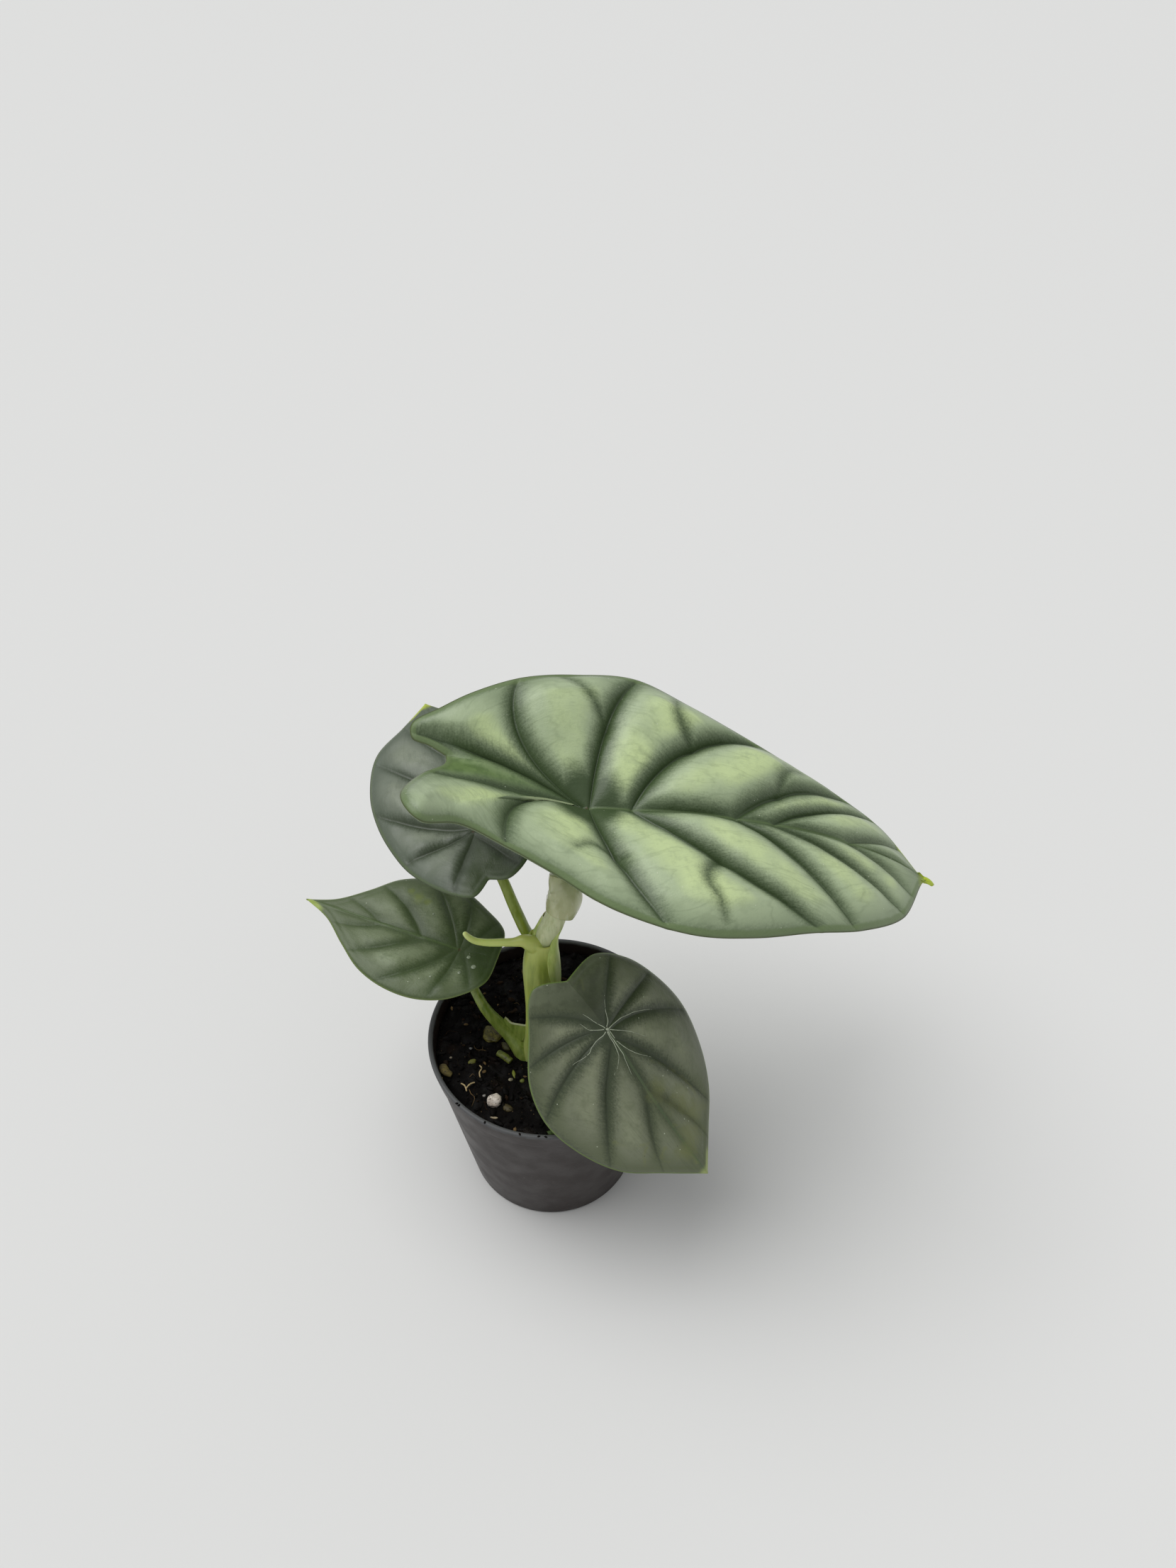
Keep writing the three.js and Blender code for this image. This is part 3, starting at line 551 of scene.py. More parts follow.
def soil_fibres():
    """Roots and fibres: thin tubes that curve over the soil and lift off it here and there."""
    draw = np.random.default_rng(8)
    radius = crumb_reach * np.sqrt(draw.uniform(0.02, 1, fibre_count))
    turn = draw.uniform(0, 2 * math.pi, fibre_count)
    heading = draw.uniform(0, 2 * math.pi, (fibre_count, 1))
    bend = draw.normal(0, fibre_bend, (fibre_count, 1))
    length = draw.uniform(*fibre_lengths, (fibre_count, 1))
    share = np.linspace(0, 1, fibre_steps)[None]
    way = heading + bend * share + 0.4 * np.sin(9 * share + heading * 5)
    x, y = (radius[:, None] * wave(turn)[:, None]
            + np.cumsum(wave(way), axis=1) * length / fibre_steps for wave in (np.cos, np.sin))
    hold = np.minimum(1, crumb_reach / np.hypot(x, y))
    x, y = x * hold, y * hold
    lift = draw.uniform(0, fibre_lift, (fibre_count, 1)) * np.sin(math.pi * share)
    z = soil_height(x, y) + 0.1 + lift
    radii = draw.uniform(*fibre_radii, (fibre_count, 1)) * (1 - 0.6 * share)
    fibres = make_mesh("peat_fibres", tubes(np.stack([x, y, z], axis=-1), radii))
    per_fibre = len(fibres.data.vertices) // fibre_count
    store(fibres, "tone", np.repeat(draw.uniform(0.55, 1.02, fibre_count), per_fibre))
    return fibres


def peat(name, lively):
    """Wet peat: nearly black, browner in patches and on some crumbs, with a few pale grains, and
    glossy where it is wettest."""
    shader = Shader(name)
    place = shader.place()
    colour = shader.mix(shader.noise(place, 500, 5, 0.65), (2, 2, 2), (14, 9, 7))
    colour = shader.layers(colour, (shader.noise(place, 130, 3), 0.54, 0.7, 0.0, 0.5, (36, 23, 14)))
    if lively:
        tone = shader.attribute("tone")
        colour = shader.layers(colour, (tone, 0.76, 0.94, 0.0, 1.0, (46, 31, 18)),
                               (tone, 0.965, 0.99, 0.0, 1.0, (118, 96, 64)))
    else:
        grain = shader.cells(place, 650)
        colour = shader.layers(colour, (grain, 0.06, 0.12, 0.5, 0.0, (120, 100, 70)))
    wet = shader.fit(shader.noise(place, 320, 3), 0.45, 0.66, 0.85, 0.3)
    shader.set(Base_Color=colour, Roughness=wet, Specular_IOR_Level=0.14)
    shader.set(Normal=shader.bump(shader.noise(place, 3200, 5, 0.7), 0.00025, 0.8))
    return shader.material


soil_bed = make_mesh("soil_bed", soil_body())
fix(soil_bed, peat("wet_peat", False), "soil")
loose_peat = peat("loose_peat", True)
fix(soil_crumbs(), loose_peat)
fix(soil_fibres(), loose_peat)


# Loose bits on the soil: a crumb of perlite, a crooked chip of bark, a cut leaf stub, a withered
# scale, and small litter. Each lies where it fell, sunk a little into the peat.
perlite_crumb = {"middle": [-13.6, -18.0, 46.4], "size": [1.75, 1.65, 1.5], "turn": 20}
withered_scale = {"middle": [-14.2, 1.0, 46.2], "size": [2.6, 2.2, 0.9], "turn": -60}
bark_path = [[-26.0, -7.0, 45.9], [-25.9, -8.4, 46.2], [-25.1, -9.6, 46.3], [-23.8, -10.1, 45.9]]
stub_path = [[-12.9, -4.5, 46.5], [-11.2, -5.9, 46.7], [-9.6, -7.2, 46.3]]
litter = [
    [-19.1, -6.5, 1.0, 0.7, 0.45, 30, (104, 104, 36)],
    [-9.0, -10.1, 1.3, 0.4, 0.3, -75, (120, 128, 40)],
    [-9.8, -11.3, 0.55, 0.4, 0.35, 10, (176, 168, 134)],
    [-7.0, -12.2, 0.6, 0.5, 0.35, 40, (106, 112, 44)],
    [-13.6, -22.1, 0.9, 0.28, 0.22, -8, (188, 172, 140)],
    [-10.5, -19.7, 1.4, 0.9, 0.5, -30, (66, 56, 20)],
    [-11.1, -2.2, 1.5, 0.8, 0.7, -50, (64, 62, 20)],
    [-27.5, -8.0, 0.7, 0.4, 0.4, 80, (170, 150, 110)],
    [-26.5, -10.5, 0.8, 0.45, 0.4, 60, (150, 130, 92)],
    [-19.6, -2.5, 0.4, 0.3, 0.25, 0, (120, 120, 118)],
    [-24.3, -5.2, 0.35, 0.3, 0.25, 0, (140, 130, 110)],
    [-16.0, -16.2, 0.4, 0.3, 0.25, 20, (150, 146, 140)],
    [-0.6, -26.3, 1.2, 0.6, 0.4, 10, (62, 84, 30)],
    [9.4, 27.7, 1.7, 0.9, 0.5, -15, (92, 66, 36)],
    [14.0, 20.5, 1.1, 0.8, 0.5, 40, (70, 54, 30)],
    [17.5, 4.0, 1.0, 0.5, 0.4, 10, (96, 84, 44)],
    [19.0, -9.5, 0.8, 0.7, 0.6, -20, (186, 172, 156)],
    [4.0, 16.5, 0.9, 0.6, 0.5, 25, (170, 160, 140)],
    [-6.5, 21.0, 1.2, 0.5, 0.4, -60, (86, 74, 34)],
    [22.0, 12.0, 0.9, 0.6, 0.4, 0, (74, 50, 28)],
]
litter_rise = 0.3
straws = [
    [[-17.3, -8.1, 46.6], [-16.7, -9.2, 46.9], [-17.2, -10.3, 46.8], [-17.0, -11.5, 46.3]],
    [[-21.6, -12.8, 46.2], [-20.6, -13.9, 46.8], [-20.1, -15.2, 46.3]],
    [[-18.2, -12.9, 46.6], [-19.4, -13.6, 46.9], [-20.3, -14.6, 46.6]],
]
straw_radius = 0.17
straw_colour = (186, 164, 120)
rim_dirt = [[-22.1, -19.9], [-21.6, -20.4], [-15.5, -25.2], [-7.5, -28.6], [-1.6, -29.5],
            [-3.2, -29.3]]
dirt_size = [0.36, 0.24, 0.16]
dirt_turn = 40
dirt_rise = 0.02
dirt_tone = 0.6


def along_spline(points, place):
    """Points of a smooth cubic curve through given points, where place counts them: its slope at
    each is half the step from the point before it to the point after."""
    points = np.array(points, float)
    last = len(points) - 1
    first = np.clip(np.floor(place).astype(int), 0, last - 1)
    part = (place - first)[:, None]
    before, start, end, after = (points[np.clip(first + step, 0, last)] for step in (-1, 0, 1, 2))
    leave = (end - before) / 2
    arrive = (after - start) / 2
    return ((2 * start - 2 * end + leave + arrive) * part ** 3
            + (3 * end - 3 * start - 2 * leave - arrive) * part ** 2 + leave * part + start)


def travelled(curve):
    """How far along a curve each of its points lies."""
    return np.concatenate([[0], np.cumsum(np.linalg.norm(np.diff(curve, axis=0), axis=1))])


def limb(path, radius, rings, sides, lean=(0, 1, 0), flat=1.0, ends=0.5):
    """A round limb along a curve through the points of a path: the rings stand square to it at
    equal steps, their radius runs through the given ones, and each end is rounded over a share
    of its own radius. Across the lean, a limb may be flat."""
    place = np.linspace(0, len(path) - 1, 400)
    run = travelled(along_spline(path, place))
    travel = np.linspace(0, run[-1], rings)
    even = np.interp(travel, run, place)
    middle = along_spline(path, even)
    wide = along_spline(np.array(radius, float)[:, None], even)[:, 0]
    along = unit(np.gradient(middle, axis=0))
    beside = unit(np.cross(lean, along))
    above = np.cross(along, beside)
    for span in (travel, run[-1] - travel):
        share = np.clip(span / np.maximum(ends * wide, 1e-6), 0, 1)
        wide = wide * np.sqrt(np.maximum(1 - (1 - share) ** 2, 0.02))
    angle = angles_round(sides)[:, None, None]
    rings = middle + wide[:, None] * (np.cos(angle) * beside + flat * np.sin(angle) * above)
    return skin(rings, middle[0], middle[-1])


def nugget(middle, size, turn, shape):
    """A shape of radius 1 brought to a size, turned about the vertical and put in its place."""
    points, face_sets = shape
    angle = math.radians(turn)
    spin = np.array([[math.cos(angle), -math.sin(angle), 0], [math.sin(angle), math.cos(angle), 0],
                     [0, 0, 1]])
    return points * size @ spin.T + middle, face_sets


def rough_ball(sides, rows, dents, seed):
    """A ball pushed in and out by noise: each dent is a size and how deep it goes."""
    points, face_sets = ball(sides, rows)
    push = sum(depth * cloud(points, size, seed) for size, depth in dents)
    return points * (1 + push[:, None]), face_sets


def speckled(name, base, other, spots, rough, relief):
    """A dull organic or mineral surface: two colours in clouds, with dark pits or spots."""
    shader = Shader(name)
    place = shader.place()
    colour = shader.mix(shader.fit(shader.noise(place, 700, 4), 0.35, 0.65), base, other)
    colour = shader.layers(colour, (shader.noise(place, 1900, 3), 0.56, 0.66, 0.0, 1.0, spots))
    shader.set(Base_Color=colour, Roughness=rough)
    shader.set(Normal=shader.bump(shader.noise(place, 2200, 4), relief, 0.8))
    return shader.material


def tinted(name, rough):
    """Litter: each bit keeps its own colour, clouded with brown."""
    shader = Shader(name)
    place = shader.place()
    colour = shader.layers(shader.attribute("tint", "Color"),
                           (shader.noise(place, 1500, 3), 0.45, 0.75, 0.0, 0.6, (40, 30, 16)))
    shader.set(Base_Color=colour, Roughness=rough)
    shader.set(Normal=shader.bump(shader.noise(place, 2600, 3), 0.0001, 0.7))
    return shader.material


perlite_ball = rough_ball(64, 36, [[0.9, 0.16], [0.34, 0.09]], 3.3)
scale_ball = rough_ball(56, 30, [[0.8, 0.2], [0.4, 0.1]], 7.1)
upright = (0, 0, 1)
loose_bits = [
    ["perlite", nugget(**perlite_crumb, shape=perlite_ball), "perlite", "perlite_crumb",
     ["perlite_white", (222, 212, 200), (190, 178, 164), (70, 54, 42), 0.85, 0.0002]],
    ["scale", nugget(**withered_scale, shape=scale_ball), "bark", "withered_scale",
     ["scale_brown", (74, 68, 20), (106, 100, 34), (34, 26, 10), 0.5, 0.0002]],
    ["bark", limb(bark_path, [0.75, 1.1, 0.95, 0.7], 40, 28, upright, 0.6), "bark", "bark_chip",
     ["bark_tan", (104, 92, 44), (74, 62, 28), (40, 30, 16), 0.75, 0.0003]],
    ["stub", limb(stub_path, [0.85, 0.9, 0.85], 40, 32, upright, 0.85, 0.25), "sheath_green",
     "leaf_stub", ["stub_green", (108, 116, 44), (86, 94, 32), (60, 56, 24), 0.45, 0.0001]],
]
for name, shape, slot, node, look in loose_bits:
    fix(make_mesh(name, shape), speckled(*look), node)

pebble = rough_ball(14, 8, [[0.9, 0.25]], 1.7)
litter_shapes, tints = [], []
for x, y, long, wide, thick, turn, colour in litter:
    top = float(soil_height(np.array([x]), np.array([y]))[0])
    middle = [x, y, top + litter_rise * thick]
    litter_shapes.append(nugget(middle, [long, wide, thick], turn, pebble))
    tints.append(paint(*colour)[:3])
for path in straws:
    litter_shapes.append(limb(path, [straw_radius] * len(path), 20, 8))
    tints.append(paint(*straw_colour)[:3])
litter_bits = make_mesh("litter_bits", heap(litter_shapes))
sizes = [len(points) for points, faces in litter_shapes]
store(litter_bits, "tint", np.repeat(tints, sizes, axis=0))
fix(litter_bits, tinted("litter_tints", 0.6))

dirt_shapes = [nugget([x, y, pot_height + dirt_rise], dirt_size, dirt_turn * index, pebble)
               for index, (x, y) in enumerate(rim_dirt)]
dirt = make_mesh("rim_dirt", heap(dirt_shapes))
store(dirt, "tone", np.full(len(dirt.data.vertices), dirt_tone))
fix(dirt, loose_peat)


# Crown: the thick, pale green foot of the plant. It is the sheath of the newest leaf, wrapped
# round its stalk, grown out at its mouth into a horn that points left.
crown_rings = [
    [33, -2.9, -3.6, 1.6, 1.6], [36, -2.9, -3.6, 3.2, 3.2], [41, -2.9, -3.7, 4.4, 4.2],
    [46, -2.8, -3.8, 4.2, 4.1], [53, -2.6, -3.6, 3.5, 3.7], [61, -2.2, -3.2, 3.5, 3.7],
    [68, -1.8, -2.9, 4.0, 4.0], [74.5, -1.8, -2.6, 4.2, 4.0], [79, -1.9, -2.2, 3.8, 3.7],
    [83, -1.7, -1.7, 3.25, 3.3], [84.6, -1.4, -1.5, 3.0, 3.1],
]
crown_steps = 90
crown_sides = 72
crown_mouth_tilt = 0.28
tilt_from = 81
tilt_over = 3.6
mouth_rings = [[-0.05, 0.88], [-0.6, 0.8], [-2.2, 0.72], [-3.6, 0.6]]
horn_path = [[-1.4, -2.2, 81.6], [-3.5, -2.8, 84], [-5.5, -3, 85.4], [-7.7, -3, 85.1],
             [-10.5, -3, 85.1], [-13.6, -3, 85.2], [-16.2, -3, 85.9], [-17.7, -3, 87.3],
             [-18.6, -3, 88.9]]
horn_radius = [2.0, 2.0, 1.5, 1.02, 0.93, 0.86, 0.78, 0.72, 0.5]
crown_voxel = 0.19
crown_smoothing = 10


def crown_column():
    """The column: ellipses whose centre and radii run smoothly through the given rings, with a
    tilted mouth whose wall turns in and down round the stalk."""
    place = np.linspace(0, len(crown_rings) - 1, crown_steps)
    height, x, y, wide, deep = along_spline(crown_rings, place).T
    top = along_spline(crown_rings, np.array([len(crown_rings) - 1.0]))[0]
    drop, shrink = np.array(mouth_rings).T
    height = np.concatenate([height, top[0] + drop])
    x, y = np.concatenate([x, top[1] + 0 * drop]), np.concatenate([y, top[2] + 0 * drop])
    wide, deep = np.concatenate([wide, top[3] * shrink]), np.concatenate([deep, top[4] * shrink])
    tilt = crown_mouth_tilt * np.clip((height - tilt_from) / tilt_over, 0, 1)
    tilt[-len(drop):] = crown_mouth_tilt
    angle = angles_round(crown_sides)[:, None]
    across = wide * np.cos(angle)
    rings = np.stack([x + across, y + deep * np.sin(angle), height - tilt * across], axis=-1)
    return skin(rings, [x[0], y[0], height[0]], [x[-1], y[-1], height[-1]])


def fuse(piece, voxel, passes):
    """Grow the overlapping bodies of a piece into one, and soften the creases between them."""
    settle(piece, "REMESH", mode="VOXEL", voxel_size=voxel * MM, use_smooth_shade=True)
    settle(piece, "SMOOTH", factor=0.5, iterations=passes)


def crown_skin():
    """Fleshy pale green: faint dark streaks run up it, a paler strip on its left is a painted
    highlight on the side the light comes from, and the mouth and the horn are yellower and paler
    still."""
    shader = Shader("crown_skin")
    place = shader.place()
    height, side = shader.part(place, "Z"), shader.part(place, "X")
    wide = shader.noise(shader.stretch(place, (420, 420, 22)), 1.0, 3, 0.6)
    fine = shader.noise(shader.stretch(place, (1500, 1500, 60)), 1.0, 2)
    colour = shader.mix(shader.fit(wide, 0.36, 0.62), (130, 146, 54), (160, 174, 76))
    # The pale strip laid on the left side below is a painted highlight, not a colour of the crown.
    colour = shader.layers(colour, (fine, 0.4, 0.7, 0.0, 0.3, (108, 124, 40)),
                           (side, -0.0062, -0.0046, 0.8, 0.0, (180, 192, 106)),
                           (height, 0.0775, 0.0848, 0.0, 0.8, (178, 188, 100)))
    horn = shader.math("MULTIPLY", shader.fit(side, -0.0125, -0.0055, 0.85, 0.0),
                       shader.fit(height, 0.0815, 0.0835))
    colour = shader.mix(horn, colour, (188, 204, 112))
    tip = shader.math("MULTIPLY", shader.fit(side, -0.0192, -0.0168, 0.8, 0.0), horn)
    colour = shader.mix(tip, colour, (212, 222, 152))
    colour = shader.layers(colour, (height, 0.046, 0.053, 0.6, 0.0, (176, 184, 112)))
    shader.set(Base_Color=colour, Roughness=0.38, Subsurface_Weight=0.12, Subsurface_Scale=0.002)
    shader.set(Normal=shader.bump(wide, 0.0003, 0.35))
    return shader.material


crown_bodies = [crown_column(), limb(horn_path, horn_radius, 90, 40, ends=0.9)]
crown = make_mesh("crown_sheath", heap(crown_bodies))
fuse(crown, crown_voxel, crown_smoothing)
fix(crown, crown_skin(), "crown")


# Back sheath: the older, opened sheath. It stands as a thin scroll round the back of the crown
# and narrows round the big stalk, bright green with a whitish, crumpled rim.
sheath_rows = [
    [64, -2.0, -3.05, 4.15, -14, 62], [68, -1.85, -2.95, 4.4, -34, 70],
    [73, -1.8, -2.7, 4.6, -52, 80], [78, -1.75, -2.3, 4.4, -66, 100],
    [82, -1.5, -1.7, 3.8, -66, 140], [85, -0.65, -1.1, 3.1, -58, 190],
    [87.5, 0.5, -0.5, 2.95, -36, 195], [89.6, 1.5, 0, 2.8, -14, 188],
]
sheath_wall = 0.55
sheath_edge = 0.16
sheath_side_ease = 9
sheath_rim_ease = 7
sheath_tuck = 0.4
sheath_crumples = [[2.2, 0.25], [0.9, 0.12]]
sheath_waver = 0.4
sheath_side_paling = 0.35
sheath_columns = 110
sheath_steps = 80


def sheet(front, back):
    """The points and faces of a closed body between two grids of points, column by column: the
    front faces outwards where its columns run anticlockwise and its rows run up."""
    columns, rows = front.shape[:2]
    count = columns * rows
    quads = grid_faces(columns, rows)
    column, row = np.arange(columns), np.arange(rows)
    edge = np.concatenate([column[:-1] * rows, (columns - 1) * rows + row[:-1],
                           column[:0:-1] * rows + rows - 1, row[:0:-1]])
    after = np.roll(edge, -1)
    rim = np.stack([after, edge, edge + count, after + count], axis=1)
    points = np.concatenate([front.reshape(-1, 3), back.reshape(-1, 3)])
    return points, [quads, quads[:, ::-1] + count, rim]


def scroll():
    """The scroll and how pale each of its points is: arcs whose height, centre, radius and two
    end angles run smoothly through the rows. Its wall thins out to its free edges, its sides lie
    close, and its rim is crumpled by noise."""
    place = np.linspace(0, len(sheath_rows) - 1, sheath_steps)
    height, x, y, radius, start, end = along_spline(sheath_rows, place).T
    share = np.linspace(0, 1, sheath_columns)[:, None]
    angle = np.radians(start + (end - start) * share)
    up = (place / place[-1])[None]
    beside = (np.minimum(share, 1 - share) * sheath_side_ease).clip(0, 1) + 0 * up
    below = ((1 - up) * sheath_rim_ease).clip(0, 1) + 0 * share
    edge = np.minimum(beside, below)
    wall = sheath_edge + (sheath_wall - sheath_edge) * edge
    span = np.stack([x + radius * np.cos(angle), y + radius * np.sin(angle), height + 0 * angle],
                    axis=-1)
    crumple = (1 - below) * sum(depth * cloud(span, size) for size, depth in sheath_crumples)
    level = height + sheath_waver * (1 - below) * cloud(span, 2.8, 4.0)
    surfaces = []
    for inset in (0, wall):
        wide = radius + crumple - inset - sheath_tuck * (1 - beside)
        surfaces.append(np.stack([x + wide * np.cos(angle), y + wide * np.sin(angle), level],
                                 axis=-1))
    pale = 1 - below + sheath_side_paling * (below - edge)
    return sheet(*surfaces), np.tile(pale.ravel(), 2)


def sheath_skin():
    """Thin bright green tissue with fine streaks that fades to a whitish rim."""
    shader = Shader("sheath_skin")
    place = shader.place()
    streak = shader.noise(shader.stretch(place, (900, 900, 50)), 1.0, 3, 0.6)
    colour = shader.mix(shader.fit(streak, 0.35, 0.65), (158, 178, 84), (186, 200, 116))
    rim = shader.math("MULTIPLY_ADD", streak, 0.35, shader.attribute("rim"))
    colour = shader.layers(colour, (rim, 0.85, 1.25, 0.0, 0.85, (216, 218, 180)))
    shader.set(Base_Color=colour, Roughness=0.36, Subsurface_Weight=0.15, Subsurface_Scale=0.001)
    shader.set(Normal=shader.bump(streak, 0.0002, 0.5))
    return shader.material


scroll_shape, scroll_rim = scroll()
back_sheath = make_mesh("sheath_scroll", scroll_shape)
store(back_sheath, "rim", scroll_rim)
fix(back_sheath, sheath_skin(), "back_sheath")


# Stalks: round and solid. The big leaf's is pale grey-green where it leaves the crown, the two
# older ones are olive, and the left one spreads at its foot into a thin skin against the crown.
stalks = {
    "petiole_big": {
        "node": "stalk_big", "base": (176, 184, 136), "streak": (196, 202, 160),
        "end": [9.2, 16.06, 107.07], "end_faces": [0.103, -0.174, 0.979],
        "path": [[-2, -2.4, 73], [-1.4, -1.8, 80], [-0.4, -1.1, 85.5], [1.8, 0, 90],
                 [2.6, 1.8, 94.6], [2.9, 4.3, 98.8], [5.4, 10, 104.3], [9.2, 15.2, 108.6]],
        "radius": [1.9, 2.1, 2.4, 2.4, 1.7, 1.6, 1.9, 2.2],
    },
    "petiole_back": {
        "node": "stalk_back", "base": (124, 142, 40), "streak": (146, 162, 68),
        "end": [-16.36, 17.66, 99.33], "end_faces": [-0.201, -0.222, 0.954],
        "path": [[-4.6, 1, 38], [-4.2, 4, 50], [-3.8, 5.8, 62], [-4.1, 5.6, 75], [-5.7, 4.6, 82],
                 [-7.8, 6.2, 87.7], [-10, 8.5, 93.5], [-13.2, 12.6, 98], [-16.4, 17.2, 101]],
        "radius": [1.5, 1.5, 1.4, 1.35, 1.35, 1.3, 1.2, 1.1, 1.2],
    },
    "petiole_left": {
        "node": "stalk_left", "base": (98, 120, 36), "streak": (136, 152, 72),
        "end": [-21.25, 8.4, 69.41], "end_faces": [0.091, -0.16, 0.983],
        "path": [[-4.9, -5.2, 37], [-6, -4.6, 43], [-7.5, -3.4, 47], [-9.6, -1.7, 49.6],
                 [-12.3, -0.9, 53], [-15.3, -0.6, 58.5], [-17.7, 0.9, 64], [-20, 4.6, 68],
                 [-21.3, 8, 70.6]],
        "radius": [2, 2.3, 2.2, 1.95, 1.6, 1.3, 1.1, 1, 1],
    },
    "petiole_front": {
        "node": "stalk_front", "base": (92, 112, 34), "streak": (128, 146, 64),
        "end": [12.6, -15.84, 69.57], "end_faces": [0.338, -0.608, 0.718],
        "path": [[-0.6, -7, 37], [0.2, -7.6, 45], [2.4, -8.6, 53], [6.4, -10.2, 61.5],
                 [10.2, -12.6, 67.5], [12.8, -16, 70.4]],
        "radius": [2, 2.2, 1.7, 1.3, 1.15, 1.25],
    },
}
stalk_sides = 48
stalk_rings = 120
wing_foot = [[-11.9, -1.0, 53.2], [-9.6, -2.2, 48.6], [-6.6, -3.9, 50]]
wing_rim = [[-10.9, -0.8, 55.3], [-8.4, -2.6, 53.6], [-5.7, -3.6, 55.8]]
wing_back = [0.44, 0.89, -0.12]
wing_thickness = 0.4
wing_waver = 0.12
wing_columns = 41
wing_rows = 24


def wing():
    """The thin skin, a patch that runs from its curved foot up to its curved rim, and how far up
    it each of its points lies."""
    share = np.linspace(0, 1, wing_columns)[:, None]
    up = np.linspace(0, 1, wing_rows)
    foot, rim = (quadratic(share, *np.array(corners, float))[:, None]
                 for corners in (wing_foot, wing_rim))
    front = foot + (rim - foot) * up[None, :, None]
    front = front + wing_waver * cloud(front, 1.6)[..., None]
    return (sheet(front, front + np.array(wing_back) * wing_thickness),
            np.tile(up, 2 * wing_columns))


def stalk_skin(name, base, streak_colour):
    """Smooth fleshy green with fine streaks along it and a few darker flecks."""
    shader = Shader(name)
    place = shader.place()
    streak = shader.noise(shader.stretch(place, (1100, 1100, 90)), 1.0, 3, 0.6)
    slow = shader.noise(place, 120, 3)
    pale = shader.math("MULTIPLY_ADD", slow, 0.12, shader.attribute("rim"))
    colour = shader.mix(shader.fit(streak, 0.35, 0.65), base, streak_colour)
    colour = shader.layers(colour, (slow, 0.4, 0.65, 0.0, 0.4, streak_colour),
                           (shader.cells(place, 900), 0.06, 0.11, 0.25, 0.0, (60, 64, 24)),
                           (pale, 0.95, 1.05, 0.0, 0.8, (176, 180, 140)))
    shader.set(Base_Color=colour, Roughness=0.34, Subsurface_Weight=0.08, Subsurface_Scale=0.001)
    shader.set(Normal=shader.bump(streak, 0.0001, 0.4))
    return shader.material


def trimmed(shape, end, faces):
    """A stalk whose points beyond the plane through its end are laid back on to the plane, so that
    it stops just under its blade."""
    points, face_sets = shape
    beyond = ((points - end) @ np.array(faces)).clip(0)
    return points - beyond[:, None] * faces, face_sets


for name, stalk in stalks.items():
    stem = limb(stalk["path"], stalk["radius"], stalk_rings, stalk_sides)
    shapes = [trimmed(stem, stalk["end"], stalk["end_faces"])]
    rims = [np.zeros(len(stem[0]))]
    if name == "petiole_left":
        wing_shape, wing_up = wing()
        shapes.append(wing_shape)
        rims.append(wing_up)
    petiole = make_mesh(name, heap(shapes))
    store(petiole, "rim", np.concatenate(rims))
    fix(petiole, stalk_skin(name + "_skin", stalk["base"], stalk["streak"]),
        stalk["node"])


# Sleeve: the dried skin that once wrapped the big leaf. It is thin as paper, pale olive, closed
# round the stalk at its top and loose on its right, and it ends below in a thin dark edge.
sleeve_path = [[2.5, 0, 90.2], [3.2, 0.9, 92], [3.8, 1.9, 94], [3.6, 2.9, 96], [3, 3.8, 97.6],
               [3, 4.5, 99]]
sleeve_radius = [3.1, 3.75, 3.95, 3.5, 2.7, 2.35]
sleeve_ends = 0.12
sleeve_rings = 80
sleeve_sides = 96
fold_count = 5
fold_lean = 3
fold_depth = 0.025
fold_unevenness = 0.02


def sleeve_shape():
    """The sleeve, and how far up it each of its points lies: a limb, hardly rounded at its ends,
    with soft lengthwise folds that die out towards its top."""
    points = limb(sleeve_path, sleeve_radius, sleeve_rings, sleeve_sides, ends=sleeve_ends)[0]
    rings = points[:-2].reshape(sleeve_sides, sleeve_rings, 3)
    middle = rings.mean(axis=0)
    angle = angles_round(sleeve_sides)[:, None]
    up = np.linspace(0, 1, sleeve_rings)[None]
    folds = (fold_depth * np.sin(fold_count * angle + fold_lean * up) * np.sin(math.pi * up)
             + fold_unevenness * cloud(rings, 3.2))
    rings = middle + (rings - middle) * (1 + folds[..., None] * (1 - up[..., None] ** 6))
    return skin(rings, middle[0], middle[-1]), np.append(np.tile(up[0], sleeve_sides), [0, 1])


def sleeve_skin():
    """Waxy olive-beige skin, clouded, with pale streaks that are painted highlights, a thin dark
    lower edge and a paler top."""
    shader = Shader("sleeve_skin")
    place = shader.place()
    soft = shader.noise(shader.stretch(place, (200, 200, 110)), 1.0, 3, 0.55)
    streak = shader.noise(shader.stretch(place, (900, 900, 120)), 1.0, 2)
    up = shader.attribute("up")
    colour = shader.mix(shader.fit(soft, 0.36, 0.64), (166, 170, 122), (192, 196, 154))
    # The pale streak layer is painted highlight bands on the waxy skin.
    colour = shader.layers(colour, (streak, 0.5, 0.75, 0.0, 0.35, (212, 214, 184)),
                           (up, 0.75, 1.0, 0.0, 0.5, (178, 184, 128)),
                           (up, 0.012, 0.03, 0.6, 0.0, (112, 114, 66)))
    shader.set(Base_Color=colour, Roughness=0.26, Coat_Weight=0.4, Coat_Roughness=0.15)
    shader.set(Subsurface_Weight=0.05, Subsurface_Scale=0.001)
    shader.set(Normal=shader.bump(soft, 0.0006, 0.35))
    return shader.material


sleeve_body, sleeve_up = sleeve_shape()
sleeve = make_mesh("sleeve", sleeve_body)
store(sleeve, "up", sleeve_up)
fix(sleeve, sleeve_skin(), "stalk_sleeve")


